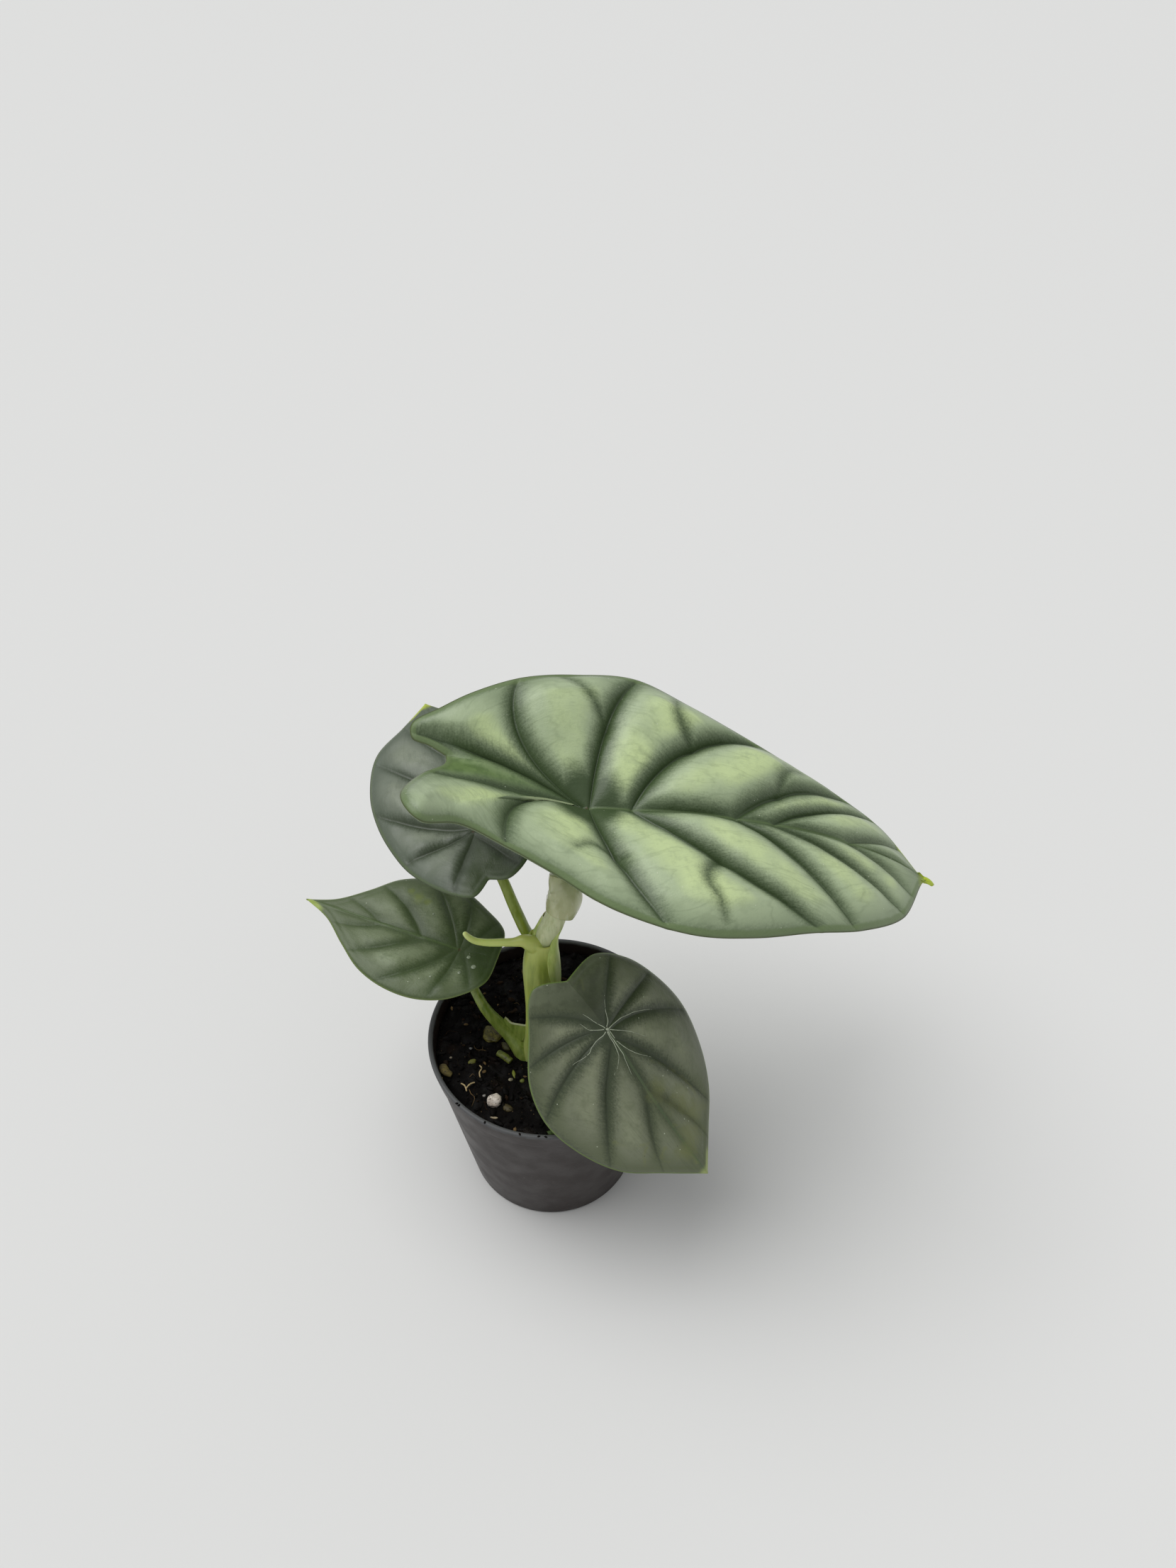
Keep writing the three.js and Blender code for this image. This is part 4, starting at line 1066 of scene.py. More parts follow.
# Leaves: one thick, stiff, silvery blade each, that arches, folds and bulges between dark green
# side veins. It is a fan of panels from the notch between its lobes round to the tip, and the
# strip behind the stalk is one rounded ridge.
blade = 0.45
rib_depth = 0.9
vein_depth = 0.35
quilt_span = 24
quilt_square = 2.5
cell = 0.55
crease_width = 0.5
strip_inset = 1.6
branch_taper = 1.5
ridge_fill = 0.8
ridge_ease = 10
leaves = {
    "blade_big": {
        "seat": [9.3, 15.9, 107.8], "heading": 0, "pitch": -6, "roll": 10,
        "lift": 0.23, "droop": 23, "reach": 90, "fold": 0.35, "unfold": -0.007, "twist": -0.0003,
        "curl": 3, "half_width": 40, "rows": 64, "quilt": 0.18, "ridge": 0.8, "crease": 0.5,
        "wave": 0.2,
        "starts": [-1.6, -0.6, 0.6, 10, 34, 43, 62],
        "left": {
            "outline": [[-31.8, 8.2], [-35.8, 9.9], [-39.4, 10.9], [-39.4, 14.1], [-33.8, 17.4],
                        [-26.2, 21.9], [-14.5, 27.6], [-1.5, 31.7], [12, 34], [25, 30.2],
                        [38, 25.4], [51, 20.4], [64, 15.8], [76, 10.3], [84, -0.8], [87.5, -1.5]],
            "veins": [[-16, 8.3, 2.4], [-22, 12.5, 5.85], [3, 24, 8.05], [20, 20, 10.45],
                      [50, 14, 12.3], [58, 9, 12.8], [72, 4, 13.4]],
            "branches": [[[4.3, 18.6], [2.9, 20.9], [0.8, 23.4], [-2.7, 27.2], [-5.6, 28.6]],
                         [[24.7, 16.9], [21.8, 21.5], [20.9, 25.4], [21.4, 28.6]],
                         [[45.2, 8.2], [46.8, 12.6], [49.5, 15.4], [52.3, 15.9]]],
        },
        "right": {
            "outline": [[-31.8, 8.2], [-32.2, 3.5], [-36.6, -5], [-39.8, -17.5], [-35.5, -24],
                        [-28, -20], [-20, -21.6], [-8.5, -25.8], [5, -32.5], [20, -35],
                        [34.5, -32.5], [49, -27.5], [63, -22.5], [76, -14.5], [84, -2.4],
                        [87.5, -1.5]],
            "veins": [[-17, 1.6, 1.75], [-20.5, 3, 6.15], [2.8, -18.5, 8.68], [26, -15, 11.2],
                      [48, -8, 11.85], [62, -7, 13.05], [73, -5, 13.5]],
            "branches": [[[6, -17.1], [2.5, -16.4], [-0.5, -16.4], [-3.9, -18.9]],
                         [[28.6, -14.2], [25, -19], [24.2, -23], [26.1, -26.8], [27.6, -30.9]]],
        },
        "hub": 5.5, "band": 4.8, "streak": 2.4, "stipple": 2.4, "mottle": 0.4, "hem": 1.25,
        "gloss": 0.4,
        "tip_reach": 6,
        "paints": {
            "silver": (174, 190, 152), "crest_highlight": (208, 226, 164), "shade": (144, 160, 126),
            "dark": (66, 84, 50), "core": (66, 92, 42), "ridge": (106, 130, 76),
            "margin": (108, 128, 82), "edge": (84, 96, 56), "tip": (190, 210, 56),
            "thread": (46, 62, 36), "blush": (74, 98, 50), "midrib": (88, 108, 64),
            "under": (128, 144, 110), "under_vein": (150, 164, 124),
        },
    },
    "blade_back": {
        "seat": [-16.5, 17.5, 100], "heading": 107.5, "pitch": 9, "roll": -15,
        "lift": 0.25, "droop": 2, "reach": 48, "fold": 0.06, "unfold": 0, "twist": 0,
        "curl": 1.5, "half_width": 22, "rows": 40, "quilt": 0.12, "ridge": 0.5, "crease": 0.18,
        "wave": 0.5,
        "starts": [-1, 0, 0.6, 11, 24],
        "left": {
            "outline": [[-15.2, 0.3], [-18.6, 4.6], [-14.8, 9.8], [-6.7, 15.4], [1, 18.5],
                        [11.5, 20.5], [22, 20], [32.4, 15.8], [38.4, 7.4], [44, 0.3]],
            "veins": [[-9, 5, 1.8], [-2, 10, 3.65], [5, 12, 5.4], [19, 9, 6.8], [32, 5, 8]],
        },
        "right": {
            "outline": [[-15.2, 0.3], [-17.3, -4.2], [-14.3, -9.2], [-7.5, -14.4], [1, -18.2],
                        [11.5, -20.5], [22, -19.5], [30.5, -15], [37.3, -5.5], [44, 0.3]],
            "veins": [[-9, -4.5, 1.7], [-2, -10, 3.65], [5, -12, 5.4], [19, -9, 6.8], [32, -5, 8]],
        },
        "hub": 3, "band": 2.8, "streak": 2.4, "stipple": 2.2, "mottle": 0.4, "hem": 0.6,
        "gloss": 0.42,
        "tip_reach": 3,
        # These paints are darker than the big leaf's partly as painted shade, for the big leaf's
        # shadow over this leaf.
        "paints": {
            "silver": (114, 122, 106), "crest_highlight": (130, 138, 118), "shade": (88, 98, 82),
            "dark": (64, 74, 54), "core": (60, 74, 42), "ridge": (82, 94, 68),
            "margin": (86, 102, 66), "edge": (70, 84, 50), "tip": (176, 192, 60),
            "thread": (64, 74, 58), "blush": (66, 80, 50), "midrib": (84, 96, 74),
            "under": (112, 124, 98), "under_vein": (132, 144, 112),
        },
    },
    "blade_left": {
        "seat": [-21.2, 8.3, 70], "heading": 161, "pitch": 8, "roll": -7,
        "lift": 0.23, "droop": 0.5, "reach": 42, "fold": 0.08, "unfold": 0.0006, "twist": 0,
        "curl": 1.5, "half_width": 20, "rows": 36, "quilt": 0.075, "ridge": 0.4, "crease": 0.1,
        "wave": 0.26,
        "starts": [-1, 0, 0.6, 9.5, 20],
        "left": {
            "outline": [[-9.5, -0.5], [-9, 7], [-3, 13], [4.5, 16], [12.5, 16], [20, 13.5],
                        [26.5, 8.5], [33, 2.8], [40, -0.5]],
            "veins": [[-4, 5, 1.5], [0, 7, 2.7], [6, 9, 4.4], [17, 7, 5.75], [25, 3.5, 6.85]],
        },
        "right": {
            "outline": [[-9.5, -0.5], [-8.5, -8], [-2, -13], [5, -16.2], [13, -16.5], [20.5, -13.5],
                        [26.5, -8], [33, -3], [40, -0.5]],
            "veins": [[-4, -5.5, 1.4], [0, -8, 2.7], [4, -7, 4], [15, -7, 5.6], [25, -3.5, 6.7]],
        },
        "hub": 3.6, "band": 3.2, "streak": 2.6, "stipple": 2.8, "mottle": 0.6, "hem": 0.2,
        "gloss": 0.42,
        "tip_reach": 2.4,
        "blushes": [[14.3, -9.4, 1.9], [11.8, -9.0, 1.2], [16.5, -10.4, 1.2]],
        "paints": {
            "silver": (110, 122, 90), "crest_highlight": (136, 148, 116), "shade": (84, 98, 62),
            "dark": (64, 80, 44), "core": (52, 70, 28), "ridge": (68, 86, 44),
            "margin": (88, 104, 58), "edge": (108, 126, 66), "tip": (160, 178, 84),
            "thread": (66, 82, 44), "blush": (128, 142, 56), "midrib": (76, 96, 48),
            "under": (96, 112, 80), "under_vein": (116, 132, 96),
        },
    },
    "blade_front": {
        "seat": [12.8, -16.2, 70], "heading": -45, "pitch": -43, "roll": 11,
        "lift": 0.1, "droop": 0, "reach": 42, "fold": -0.3, "unfold": 0, "twist": 0.0004,
        "curl": 1.5, "half_width": 22, "rows": 44, "quilt": 0.085, "ridge": 0.5, "crease": 0.14,
        "wave": 0.2,
        "starts": [-0.6, 0, 0.5, 2.2, 16.5],
        "left": {
            "outline": [[-14.5, -2], [-15, 7.5], [-9, 15], [-0.5, 19.5], [9, 21.5], [18.5, 19.5],
                        [27, 15], [34, 8.3], [41, 1.5]],
            "veins": [[-6, 4, 1.5], [-2, 9, 2.75], [1, 12, 4.2], [12, 8, 6.4], [26, 6, 7.2]],
        },
        "right": {
            "outline": [[-14.5, -2], [-17, -9.5], [-8, -15.3], [1.5, -20.2], [11, -21.5],
                        [20.5, -19], [29, -14], [35, -6.5], [41, 1.5]],
            "veins": [[-8, -5, 1.6], [-4, -8, 2.6], [1, -11, 3.9], [12, -9, 5.75], [25, -5, 7]],
        },
        "hub": 2.6, "band": 3.5, "streak": 2.8, "stipple": 2.8, "mottle": 0.55, "hem": 0.1,
        "gloss": 0.4,
        "tip_reach": 2.5,
        "blushes": [[18.5, 2, 4], [24, 5.4, 4.5], [28, 7.5, 4], [31, 3.5, 4], [33, 0.2, 3.5]],
        "scribbles": [[[27, -6.5], [28.7, -8.3], [30.8, -9.2]],
                      [[29.8, -3.8], [31.3, -5.1], [33.1, -4.8], [33, -3.2]],
                      [[32.4, -1.4], [34.8, 0.4], [37.2, 0.5]],
                      [[29.8, 2.3], [32.6, 2.7], [35.1, 1.6]],
                      [[12.1, 4.7], [16.8, 7.9], [21.4, 9.8], [25.8, 10]],
                      [[26.6, 0.6], [28.9, 3.1], [31.6, 5.4]], [[-12.6, 0.8], [-10.6, 0.3]],
                      [[22.2, -11.8], [25.4, -9.1], [26.9, -5.3]]],
        "paints": {
            "silver": (116, 122, 98), "crest_highlight": (138, 144, 116), "shade": (92, 100, 72),
            "dark": (56, 66, 42), "core": (58, 66, 42), "ridge": (102, 110, 84),
            "margin": (92, 104, 62), "edge": (102, 124, 58), "tip": (150, 164, 96),
            "thread": (44, 54, 34), "blush": (112, 118, 66), "midrib": (80, 96, 64),
            "under": (110, 124, 90), "under_vein": (128, 140, 104),
        },
    },
}


def leaf_midline(leaf, x):
    """The midrib's sideways place: straight from the notch to the stalk, then bent near the tip."""
    notch_x, notch_y = leaf["left"]["outline"][0]
    tip_x, tip_y = leaf["left"]["outline"][-1]
    return np.where(x < 0, notch_y * x / notch_x, tip_y * (np.maximum(x, 0) / tip_x) ** 4)


def leaf_form(leaf, x, y):
    """The blade's height over its flat plane: lobes lift, the tip droops, halves fold up from the
    midrib, and the margins curl down."""
    lobes = leaf["lift"] * x ** 2 / (8 - np.minimum(x, 0))
    rib = np.where(x < 0, lobes, -leaf["droop"] * (np.maximum(x, 0) / leaf["reach"]) ** 3)
    aside = np.abs(y - leaf_midline(leaf, x))
    fold = (leaf["fold"] + leaf["unfold"] * x) * aside
    return rib + fold + leaf["twist"] * x * y - leaf["curl"] * (aside / leaf["half_width"]) ** 4


def side_curve(leaf, side, start, bend, place, v):
    """Flat points on curves from the midrib to the outline: quadratic curves from (start, midline)
    by way of a bend to the outline, for arrays of columns and of v from 0 to 1."""
    root = np.stack([start, leaf_midline(leaf, start)], axis=1)[:, None]
    end = along_spline(side["outline"], place)[:, None]
    return quadratic(v[None, :, None], root, bend[:, None], end)


def vein_table(leaf, side):
    """Start along the midrib, bend and outline place of each panel edge, from notch to tip."""
    outline = side["outline"]
    start = np.array([outline[0][0], *leaf["starts"], outline[-1][0]], float)
    bend = np.array([outline[0], *[vein[:2] for vein in side["veins"]], outline[-1]], float)
    place = np.array([0, *[vein[2] for vein in side["veins"]], len(outline) - 1], float)
    return start, bend, place


def nearest(flat, line, taper=0.0):
    """The distance from each flat point to a line of straight stretches between points, more by
    taper towards the end of the line."""
    start = line[:-1]
    run = line[1:] - start
    offset = flat[:, None] - start
    share = np.clip((offset * run).sum(-1) / np.maximum((run * run).sum(-1), 1e-9), 0, 1)
    distance = np.sqrt(((offset - share[..., None] * run) ** 2).sum(-1))
    return (distance + taper * (np.arange(len(start)) + share) / len(start)).min(axis=1)


def ridge_half_width(leaf, x):
    """How far the first side veins run from the midrib beside each place, on average."""
    middles = np.stack([x, leaf_midline(leaf, x)], axis=-1).reshape(-1, 2)
    distances = []
    for side in (leaf["left"], leaf["right"]):
        start, bend, place = (values[1:2] for values in vein_table(leaf, side))
        vein = side_curve(leaf, side, start, bend, place, np.linspace(0, 1, 30))[0]
        distances.append(nearest(middles, vein))
    return np.mean(distances, axis=0).reshape(x.shape)


def blushes(spots, x, y):
    """How much of a blush lies at each point: the greatest of several round spots that fade out,
    each given by its middle and its radius."""
    shares = [np.exp(-((x - spot_x) ** 2 + (y - spot_y) ** 2) / radius ** 2)
              for spot_x, spot_y, radius in spots]
    return np.max([0 * x, *shares], axis=0)


def lines_near(points, lines, taper):
    """The distance to the nearest of several curves, each through its own few points, in which a
    curve counts as further off by taper towards its end."""
    distances = [nearest(points, along_spline(line, np.linspace(0, len(line) - 1, 16)), taper)
                 for line in lines]
    return np.min([np.full(len(points), 99.0), *distances], axis=0)


def leaf_half(leaf, side, sign, panel, part, v):
    """One half of a blade on a grid of columns by v: flat points, heights, the distances in
    millimetres that its colours go by, and a place along and across its panels."""
    start, bend, place = vein_table(leaf, side)
    share = part[:, None]
    starts, places = (values[panel] + (values[panel + 1] - values[panel]) * part
                      for values in (start, place))
    bends = bend[panel] + (bend[panel + 1] - bend[panel]) * share
    flat = side_curve(leaf, side, starts, bends, places, v)
    first, second = (side_curve(leaf, side, start[edge], bend[edge], place[edge], v)
                     for edge in (panel, panel + 1))
    width = np.linalg.norm(first - second, axis=2)
    x, y = flat[..., 0], flat[..., 1]
    aside = np.abs(y - leaf_midline(leaf, x))
    points = flat.reshape(-1, 2)
    edges = side_curve(leaf, side, start, bend, place, np.linspace(0, 1, 40))
    veins = np.stack([nearest(points, edge) for edge in edges[1:-1]])
    vein = veins.min(axis=0).reshape(width.shape)
    first_vein = veins[0].reshape(width.shape)
    outline = along_spline(side["outline"], np.linspace(0, place[-1], 240))
    rim = nearest(points, outline).reshape(width.shape)
    branch = lines_near(points, side.get("branches", []), branch_taper).reshape(width.shape)
    scribble = lines_near(points, leaf.get("scribbles", []), 0).reshape(width.shape)

    in_ridge = panel[:, None] == 0
    pillow = (1 - np.abs(2 * share - 1) ** quilt_square) * (1 - np.exp(-aside / 2.2))
    bulge = pillow * np.clip((rim - 0.8) / 6, 0, 1) ** 0.7
    quilt = leaf["quilt"] * np.minimum(width, quilt_span) * bulge
    ridge_share = aside / np.maximum(aside + first_vein, 1e-6)
    half_width = ridge_half_width(leaf, x)
    fall = np.maximum(leaf["fold"] + leaf["unfold"] * x, 0) * half_width
    ridge = (ridge_fill * fall * (1 - ridge_share)
             + leaf["ridge"] * (1 - ridge_share ** 2) * np.clip(half_width / 3, 0, 1))
    ease = np.clip(rim / ridge_ease, 0, 1)
    rise = np.where(in_ridge, ridge * ease * ease * (3 - 2 * ease), quilt)
    crease = leaf["crease"] * (np.exp(-vein / crease_width) + 0.8 * np.exp(-(branch / 0.7) ** 1.4)
                               + 1.3 * np.exp(-(branch / 2.6) ** 2)) * np.clip(rim / 1.5, 0, 1)
    strip = 0.15 * np.exp(-((rim - strip_inset) / 0.5) ** 2)
    turn = 0.6 * np.maximum(0, 1 - rim / 1.4) ** 2
    cord = 0.2 * np.exp(-(aside / 0.35) ** 2) * np.clip(x / 4, 0, 1)
    span = np.stack([x, y, 0 * x], axis=-1)
    unevenness = leaf["wave"] * (cloud(span, 6, sign) + 0.35 * cloud(span, 2.4, sign))
    height = leaf_form(leaf, x, y) + rise - crease - strip - turn + cord
    height += unevenness * np.clip(rim / 3, 0, 1) * np.clip(aside / 2, 0, 1)
    length = np.linalg.norm(flat[:, -1:] - flat[:, :1], axis=2)
    grain = np.stack([v * length, (share - 0.5) * width + 40 * panel[:, None] + 9 * sign, 0 * x],
                     axis=2)
    tip = np.hypot(x - side["outline"][-1][0], y - side["outline"][-1][1])
    return flat, height, {
        "vein": vein, "branch": branch, "rib": aside + 4 * np.maximum(-x, 0), "aside": aside,
        "rim": rim,
        "tip": tip, "far_side": (sign + 1) / 2 + 0 * x, "v": v + 0 * x, "hub": np.hypot(x, y),
        "rear": np.where(in_ridge, first_vein, 0), "bulge": np.where(in_ridge, 0, bulge),
        "scribble": scribble, "blush": blushes(leaf.get("blushes", []), x, y)}, grain


def leaf_axes(leaf):
    """The blade's own directions: along the midrib, across it to the left, and up."""
    heading, pitch, roll = np.radians([leaf["heading"], leaf["pitch"], leaf["roll"]])
    along = np.array([math.cos(heading) * math.cos(pitch), math.sin(heading) * math.cos(pitch),
                      math.sin(pitch)])
    level = np.array([-math.sin(heading), math.cos(heading), 0])
    across = level * math.cos(roll) + np.cross(along, level) * math.sin(roll)
    return along, across, np.cross(along, across)


def leaf_columns(leaf):
    """The panel and the part of it for each column, with columns no further than a cell apart."""
    spans = []
    for side in (leaf["left"], leaf["right"]):
        place = vein_table(leaf, side)[2]
        steps = np.linspace(0, place[-1], 400)
        rim = along_spline(side["outline"], steps)
        spans.append(np.diff(np.interp(place, steps, travelled(rim))))
    counts = np.maximum(6, np.ceil(np.max(spans, axis=0) / cell)).astype(int)
    panel = np.repeat(np.arange(len(counts)), counts)
    part = np.concatenate([np.arange(count) / count for count in counts])
    return panel[1:], part[1:]


def vertex_normals(points, face_sets):
    """Unit normals at the points, from the faces round each, the larger the more."""
    total = np.zeros_like(points)
    for faces in face_sets:
        corners = points[faces]
        if faces.shape[1] == 4:
            first, second = corners[:, 2] - corners[:, 0], corners[:, 3] - corners[:, 1]
        else:
            first, second = corners[:, 1] - corners[:, 0], corners[:, 2] - corners[:, 0]
        for corner in range(faces.shape[1]):
            np.add.at(total, faces[:, corner], np.cross(first, second))
    return total / np.maximum(np.linalg.norm(total, axis=1, keepdims=True), 1e-12)


def leaf_piece(name, leaf):
    """A blade as one closed skin: a top, and an underside a blade's thickness below it with its
    veins standing out, each a grid of columns from notch to tip with those two as end points."""
    panel, part = leaf_columns(leaf)
    rows = leaf["rows"]
    v = (np.arange(rows + 1) / rows) ** 1.1
    right, left = (leaf_half(leaf, leaf[side], sign, panel, part, v)
                   for side, sign in (("right", -1), ("left", 1)))

    def whole(right_half, left_half, ends):
        grid = np.concatenate([right_half[:, :0:-1], left_half], axis=1)
        return np.concatenate([grid.reshape(-1, *grid.shape[2:]), ends])

    ends = np.array([leaf["left"]["outline"][0], leaf["left"]["outline"][-1]], float)
    flat = whole(right[0], left[0], ends)
    height = whole(right[1], left[1], leaf_form(leaf, ends[:, 0], ends[:, 1]) - 0.5)
    along, across, up = leaf_axes(leaf)
    top = np.array(leaf["seat"]) + flat[:, :1] * along + flat[:, 1:] * across + height[:, None] * up
    columns, lines = len(panel), 2 * rows + 1
    count = len(top)
    notch, tip = count - 2, count - 1
    quads = grid_faces(columns, lines)
    line = np.arange(lines - 1)
    last = (columns - 1) * lines
    fans = np.concatenate([np.stack([np.full(lines - 1, notch), line, line + 1], axis=1),
                           np.stack([np.full(lines - 1, tip), last + line + 1, last + line],
                                    axis=1)])
    values = {key: whole(right[2][key], left[2][key], [99, 0] if key == "tip" else [0, 0])
              for key in right[2]}
    ribs = (rib_depth * np.exp(-(values["rib"] / 0.9) ** 2)
            + vein_depth * np.exp(-(values["vein"] / 0.7) ** 2)) * (1 - values["v"]).clip(0, 1)
    ribs *= np.clip(values["tip"] / 20, 0, 1) * np.clip(values["hub"] / 12 - 0.2, 0, 1)
    ribs[-2:] = 0
    normals = vertex_normals(top, [quads, fans])
    under = top - (blade + ribs)[:, None] * normals
    column = np.arange(columns)
    margin = np.concatenate([[notch], column * lines, [tip], column[::-1] * lines + lines - 1])
    after = np.roll(margin, -1)
    edge = np.stack([after, margin, margin + count, after + count], axis=1)
    shape = (np.concatenate([top, under]),
             [quads, quads[:, ::-1] + count, edge, fans, fans[:, ::-1] + count])
    piece = make_mesh(name, shape)
    for key, kept in values.items():
        store(piece, key, np.tile(kept, 2))
    store(piece, "below", np.repeat([0, 1], count))
    store(piece, "grain", np.tile(whole(right[3], left[3], np.zeros((2, 3))), (2, 1)))
    fix(piece, leaf_skin(name + "_skin", leaf), name.replace("blade", "leaf"))
    return {"flat": flat, "top": top, "along": along, "across": across}


def leaf_skin(name, leaf):
    """A silvery blade: dark green bands along the veins that feather into pale, raised panels,
    painted greyer low on their flanks as shade and yellow-green on their crests as a highlight, a
    smooth green ridge behind the stalk, a narrow green margin, a yellow-green tip, blushes and thin
    scribbles where the leaf has them, dust, and a plain paler underside."""
    paints = leaf["paints"]
    shader = Shader(name)
    place = shader.place()
    grain = shader.attribute("grain", "Vector")
    streak = shader.noise(shader.stretch(grain, (2.4, 0.28, 1)), 1.0, 4, 0.65)
    speck = shader.noise(place, 2300, 3, 0.6)
    drift = shader.noise(place, 95, 3)
    soft = shader.noise(place, 380, 4, 0.6)
    feather = shader.math("MULTIPLY", shader.math("SUBTRACT", streak, 0.5), leaf["streak"])
    stipple = shader.math("MULTIPLY", shader.math("SUBTRACT", speck, 0.5), leaf["stipple"])
    shift = shader.math("ADD", feather, stipple)
    vein, rim, rib = shader.attribute("vein"), shader.attribute("rim"), shader.attribute("rib")
    hub, tip = shader.attribute("hub"), shader.attribute("tip")
    near = shader.math("MINIMUM", vein, shader.math("ADD", rib, 0.4))
    near = shader.math("MULTIPLY_ADD", shader.math("POWER", shader.attribute("v"), 3.0), 1.2, near)
    near = shader.math("MINIMUM", near,
                       shader.math("MULTIPLY_ADD", shader.attribute("branch"), 1.15, 0.3))
    near = shader.math("MINIMUM", near, shader.math("MULTIPLY_ADD", hub, 0.8, -0.8 * leaf["hub"]))
    near = shader.math("MINIMUM", near, shader.math("MULTIPLY_ADD", rim, 1.3, 1.3))
    faded = shader.fit(tip, 6.0, 6.0 * leaf["tip_reach"] + 16.0, 2.0, 0.0)
    far = shader.math("ADD", shader.math("ADD", near, faded), shift)

    # Panels: painted shade on their low flanks and a painted highlight on their crests, set by the
    # pillow's height, with random mottles in the same grey.
    bulge = shader.math("MULTIPLY_ADD", soft, 0.25, shader.attribute("bulge"))
    panel = shader.mix(shader.fit(bulge, 0.25, 0.85), paints["shade"], paints["silver"])
    crest_highlight = shader.math("MULTIPLY_ADD", drift, 0.9, shader.attribute("bulge"))
    panel = shader.mix(shader.fit(crest_highlight, 1.12, 1.6, 0.0, 0.9), panel, paints["crest_highlight"])
    panel = shader.mix(shader.fit(soft, 0.42, 0.75, 0.0, leaf["mottle"]), panel, paints["shade"])
    panel = shader.mix(shader.fit(streak, 0.5, 0.8, 0.0, leaf["mottle"]), panel, paints["shade"])
    curl = shader.noise(shader.stretch(grain, (0.17, 0.05, 1)), 1.0, 3)
    curl = shader.math("ABSOLUTE", shader.math("SUBTRACT", curl, 0.5))
    hair_line = shader.fit(curl, 0.001, 0.035, 0.13, 0.0)
    panel = shader.mix(hair_line, panel, paints["dark"])
    colour = shader.mix(shader.fit(far, 0.2, leaf["band"]), paints["dark"], panel)
    crest_line = shader.fit(shader.attribute("aside"), 0.0, 2.8, 0.22, 0.0)
    back = shader.mix(crest_line, paints["ridge"], paints["silver"])
    back = shader.mix(shader.fit(hub, 4.0, 19.0), paints["core"], back)
    back = shader.mix(shader.fit(soft, 0.4, 0.65, 0.0, 0.5), back, paints["core"])
    rear = shader.fit(shader.math("MULTIPLY_ADD", shift, 0.6, shader.attribute("rear")), 0.4, 3.2)
    colour = shader.mix(rear, colour, back)
    colour = shader.mix(shader.fit(vein, 0.08, 0.3, 0.25, 0.0), colour, paints["thread"])
    colour = shader.mix(shader.fit(rib, 0.16, 0.42, 0.7, 0.0), colour, paints["midrib"])
    colour = shader.mix(shader.fit(hub, 0.25, 0.5, 0.7, 0.0), colour, (70, 52, 26))
    blush = shader.math("MULTIPLY_ADD", soft, 0.9, shader.attribute("blush"))
    colour = shader.mix(shader.fit(blush, 0.75, 1.6, 0.0, 0.55), colour, paints["blush"])
    scribble = shader.math("MULTIPLY_ADD", soft, 2.6, shader.attribute("scribble"))
    colour = shader.mix(shader.fit(scribble, 0.8, 1.9, 0.5, 0.0), colour, paints["blush"])

    band = shader.math("MULTIPLY_ADD", soft, 0.5, rim)
    colour = shader.mix(shader.fit(band, leaf["hem"], leaf["hem"] + 0.6, 0.8, 0.0), colour,
                        paints["margin"])
    colour = shader.mix(shader.fit(rim, 0.1, 0.34), paints["edge"], colour)
    dust = shader.fit(shader.cells(place, 330), 0.03, 0.05, 0.7, 0.0)
    colour = shader.mix(dust, colour, (206, 214, 190))
    dots = shader.fit(shader.cells(place, 190), 0.016, 0.028, 0.7, 0.0)
    colour = shader.mix(dots, colour, (34, 38, 24))
    under = shader.mix(shader.fit(near, 0.5, 1.4), paints["under_vein"], paints["under"])
    colour = shader.mix(shader.attribute("below"), colour, under)
    reach = leaf["tip_reach"]
    colour = shader.mix(shader.fit(tip, 0.35 * reach, reach, 0.95, 0.0), colour, paints["tip"])
    beside_tip = shader.math("MULTIPLY", shader.fit(rim, 0.5, 1.3, 0.9, 0.0),
                             shader.fit(tip, 1.6 * reach, 2.6 * reach, 1.0, 0.0))
    beside_tip = shader.math("MULTIPLY", beside_tip, shader.attribute("far_side"))
    colour = shader.mix(beside_tip, colour, paints["tip"])
    shader.set(Base_Color=colour, Roughness=leaf["gloss"])
    relief = shader.math("MULTIPLY_ADD", soft, 0.8, shader.math("MULTIPLY", streak, 0.35))
    relief = shader.math("MULTIPLY_ADD", speck, 0.35, relief)
    shader.set(Normal=shader.bump(relief, 0.00024, 0.5))
    return shader.material


blades = {}
for name, leaf in leaves.items():
    blades[name] = leaf_piece(name, leaf)


# Small things on the leaves: pale raised hairs that spread from the front leaf's middle, and
# drops of water on the left leaf.
hub_hairs = [
    [[0.3, 0.4], [0.3, 3.7], [1, 6.9], [2.2, 9.9], [4, 12.8]],
    [[0.6, 0.4], [4.5, 0.6], [7.9, 2.2], [11.8, 5.5]],
    [[0.6, 0.1], [5.5, -0.3], [8.4, -0.7], [11.5, -1.1]],
    [[0.6, -0.1], [4.7, -0.8], [7.1, -2.1], [9.4, -4.3]],
    [[0.4, -0.5], [1.3, -4.3], [2.2, -7.2], [2.2, -10.6]], [[-0.4, -0.2], [-3.5, -1.8], [-6.2, -3]],
    [[-0.4, 0.3], [-3.8, 2.4], [-6.5, 3.9]], [[-0.3, -0.6], [-2.2, -3.4], [-4.5, -4.4]],
    [[0.6, 0.6], [3.9, 4.4], [7.3, 7.2]],
]
hair_radius = 0.11
hair_sway = 0.25
hair_steps = 24
knot_radius = 0.36
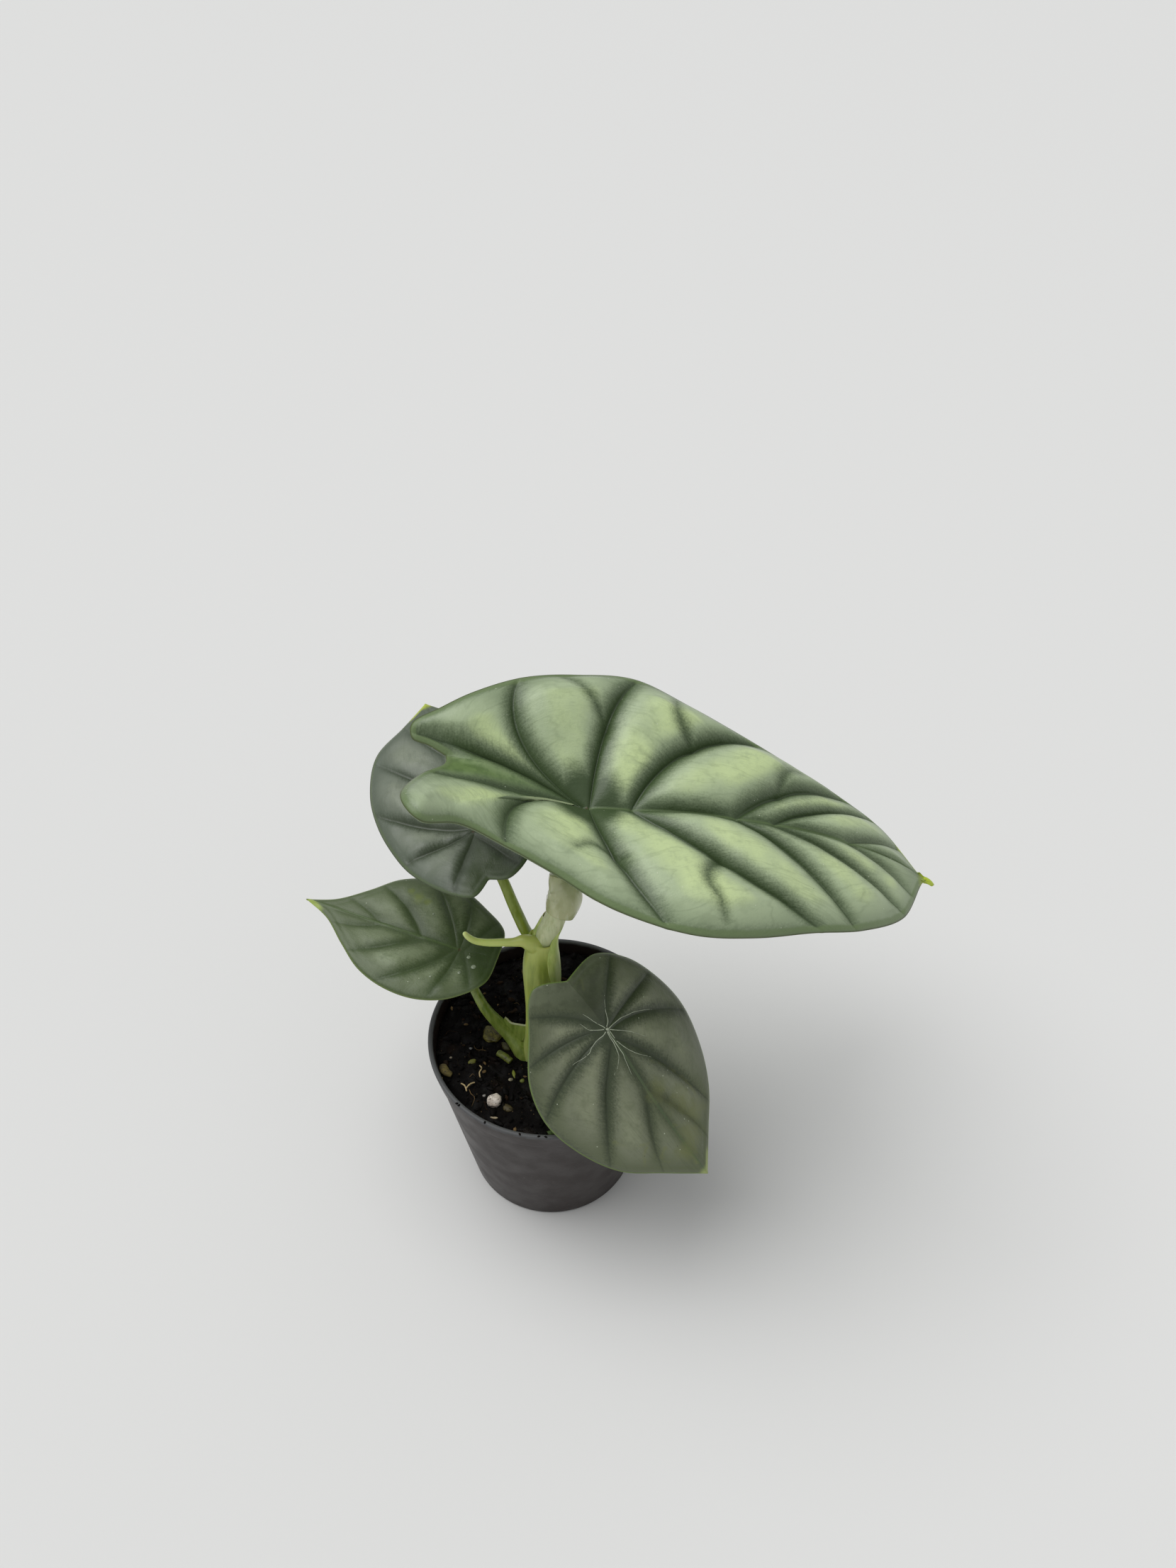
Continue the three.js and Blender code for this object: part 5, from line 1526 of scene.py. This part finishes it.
water_drops = [[-2.9, 1.4, 0.5], [-5.0, 3.8, 0.62], [-2.4, 6.3, 0.42], [3.4, 9.8, 0.3],
               [9.2, -6.4, 0.26]]
drop_flatness = 0.5


def on_blade(blade, spots):
    """Points on a blade's top at flat spots, from its nearest grid points."""
    offsets = np.array(spots, float)[:, None] - blade["flat"]
    close = (offsets ** 2).sum(axis=2).argmin(axis=1)
    shift = offsets[np.arange(len(close)), close]
    return blade["top"][close] + shift[:, :1] * blade["along"] + shift[:, 1:] * blade["across"]


def plain_skin(name, colour, rough, **settings):
    """One even colour, faintly clouded, with a fine grain."""
    shader = Shader(name)
    place = shader.place()
    darker = tuple(0.82 * value for value in colour)
    cloudy = shader.mix(shader.fit(shader.noise(place, 900, 3), 0.35, 0.7), colour, darker)
    shader.set(Base_Color=cloudy, Roughness=rough, **settings)
    shader.set(Normal=shader.bump(shader.noise(place, 2600, 2), 0.00005, 0.5))
    return shader.material


hair_paths = []
for line in hub_hairs:
    spots = along_spline(line, np.linspace(0, len(line) - 1, hair_steps))
    sway = hair_sway * cloud(np.pad(spots, ((0, 0), (0, 1))), 1.6)[:, None]
    hair_paths.append(on_blade(blades["blade_front"], spots + sway))
taper = np.linspace(1, 0.3, hair_steps)[None]
hair_radii = hair_radius * taper * np.ones((len(hub_hairs), 1))
hair_shape = tubes(np.array(hair_paths), hair_radii, sides=8)
knot_middle = on_blade(blades["blade_front"], [[0, 0]])[0]
knot_size = [1.3 * knot_radius, knot_radius, 0.7 * knot_radius]
knot_shape = nugget(knot_middle, knot_size, -45, ball(20, 10))
hairs = make_mesh("hub_hairs", heap([hair_shape, knot_shape]))
fix(hairs, plain_skin("hair_green", (182, 190, 166), 0.5))

drop_shapes = []
for x, y, radius in water_drops:
    middle = on_blade(blades["blade_left"], [[x, y]])[0]
    drop_shapes.append(nugget(middle, [radius, radius, drop_flatness * radius], 0, ball(20, 12)))
water = make_mesh("water_drops", heap(drop_shapes))
# The drops are a pale opaque green: a painted glint in place of clear water.
fix(water, plain_skin("water", (150, 162, 136), 0.05, IOR=1.33, Coat_Weight=0.6))
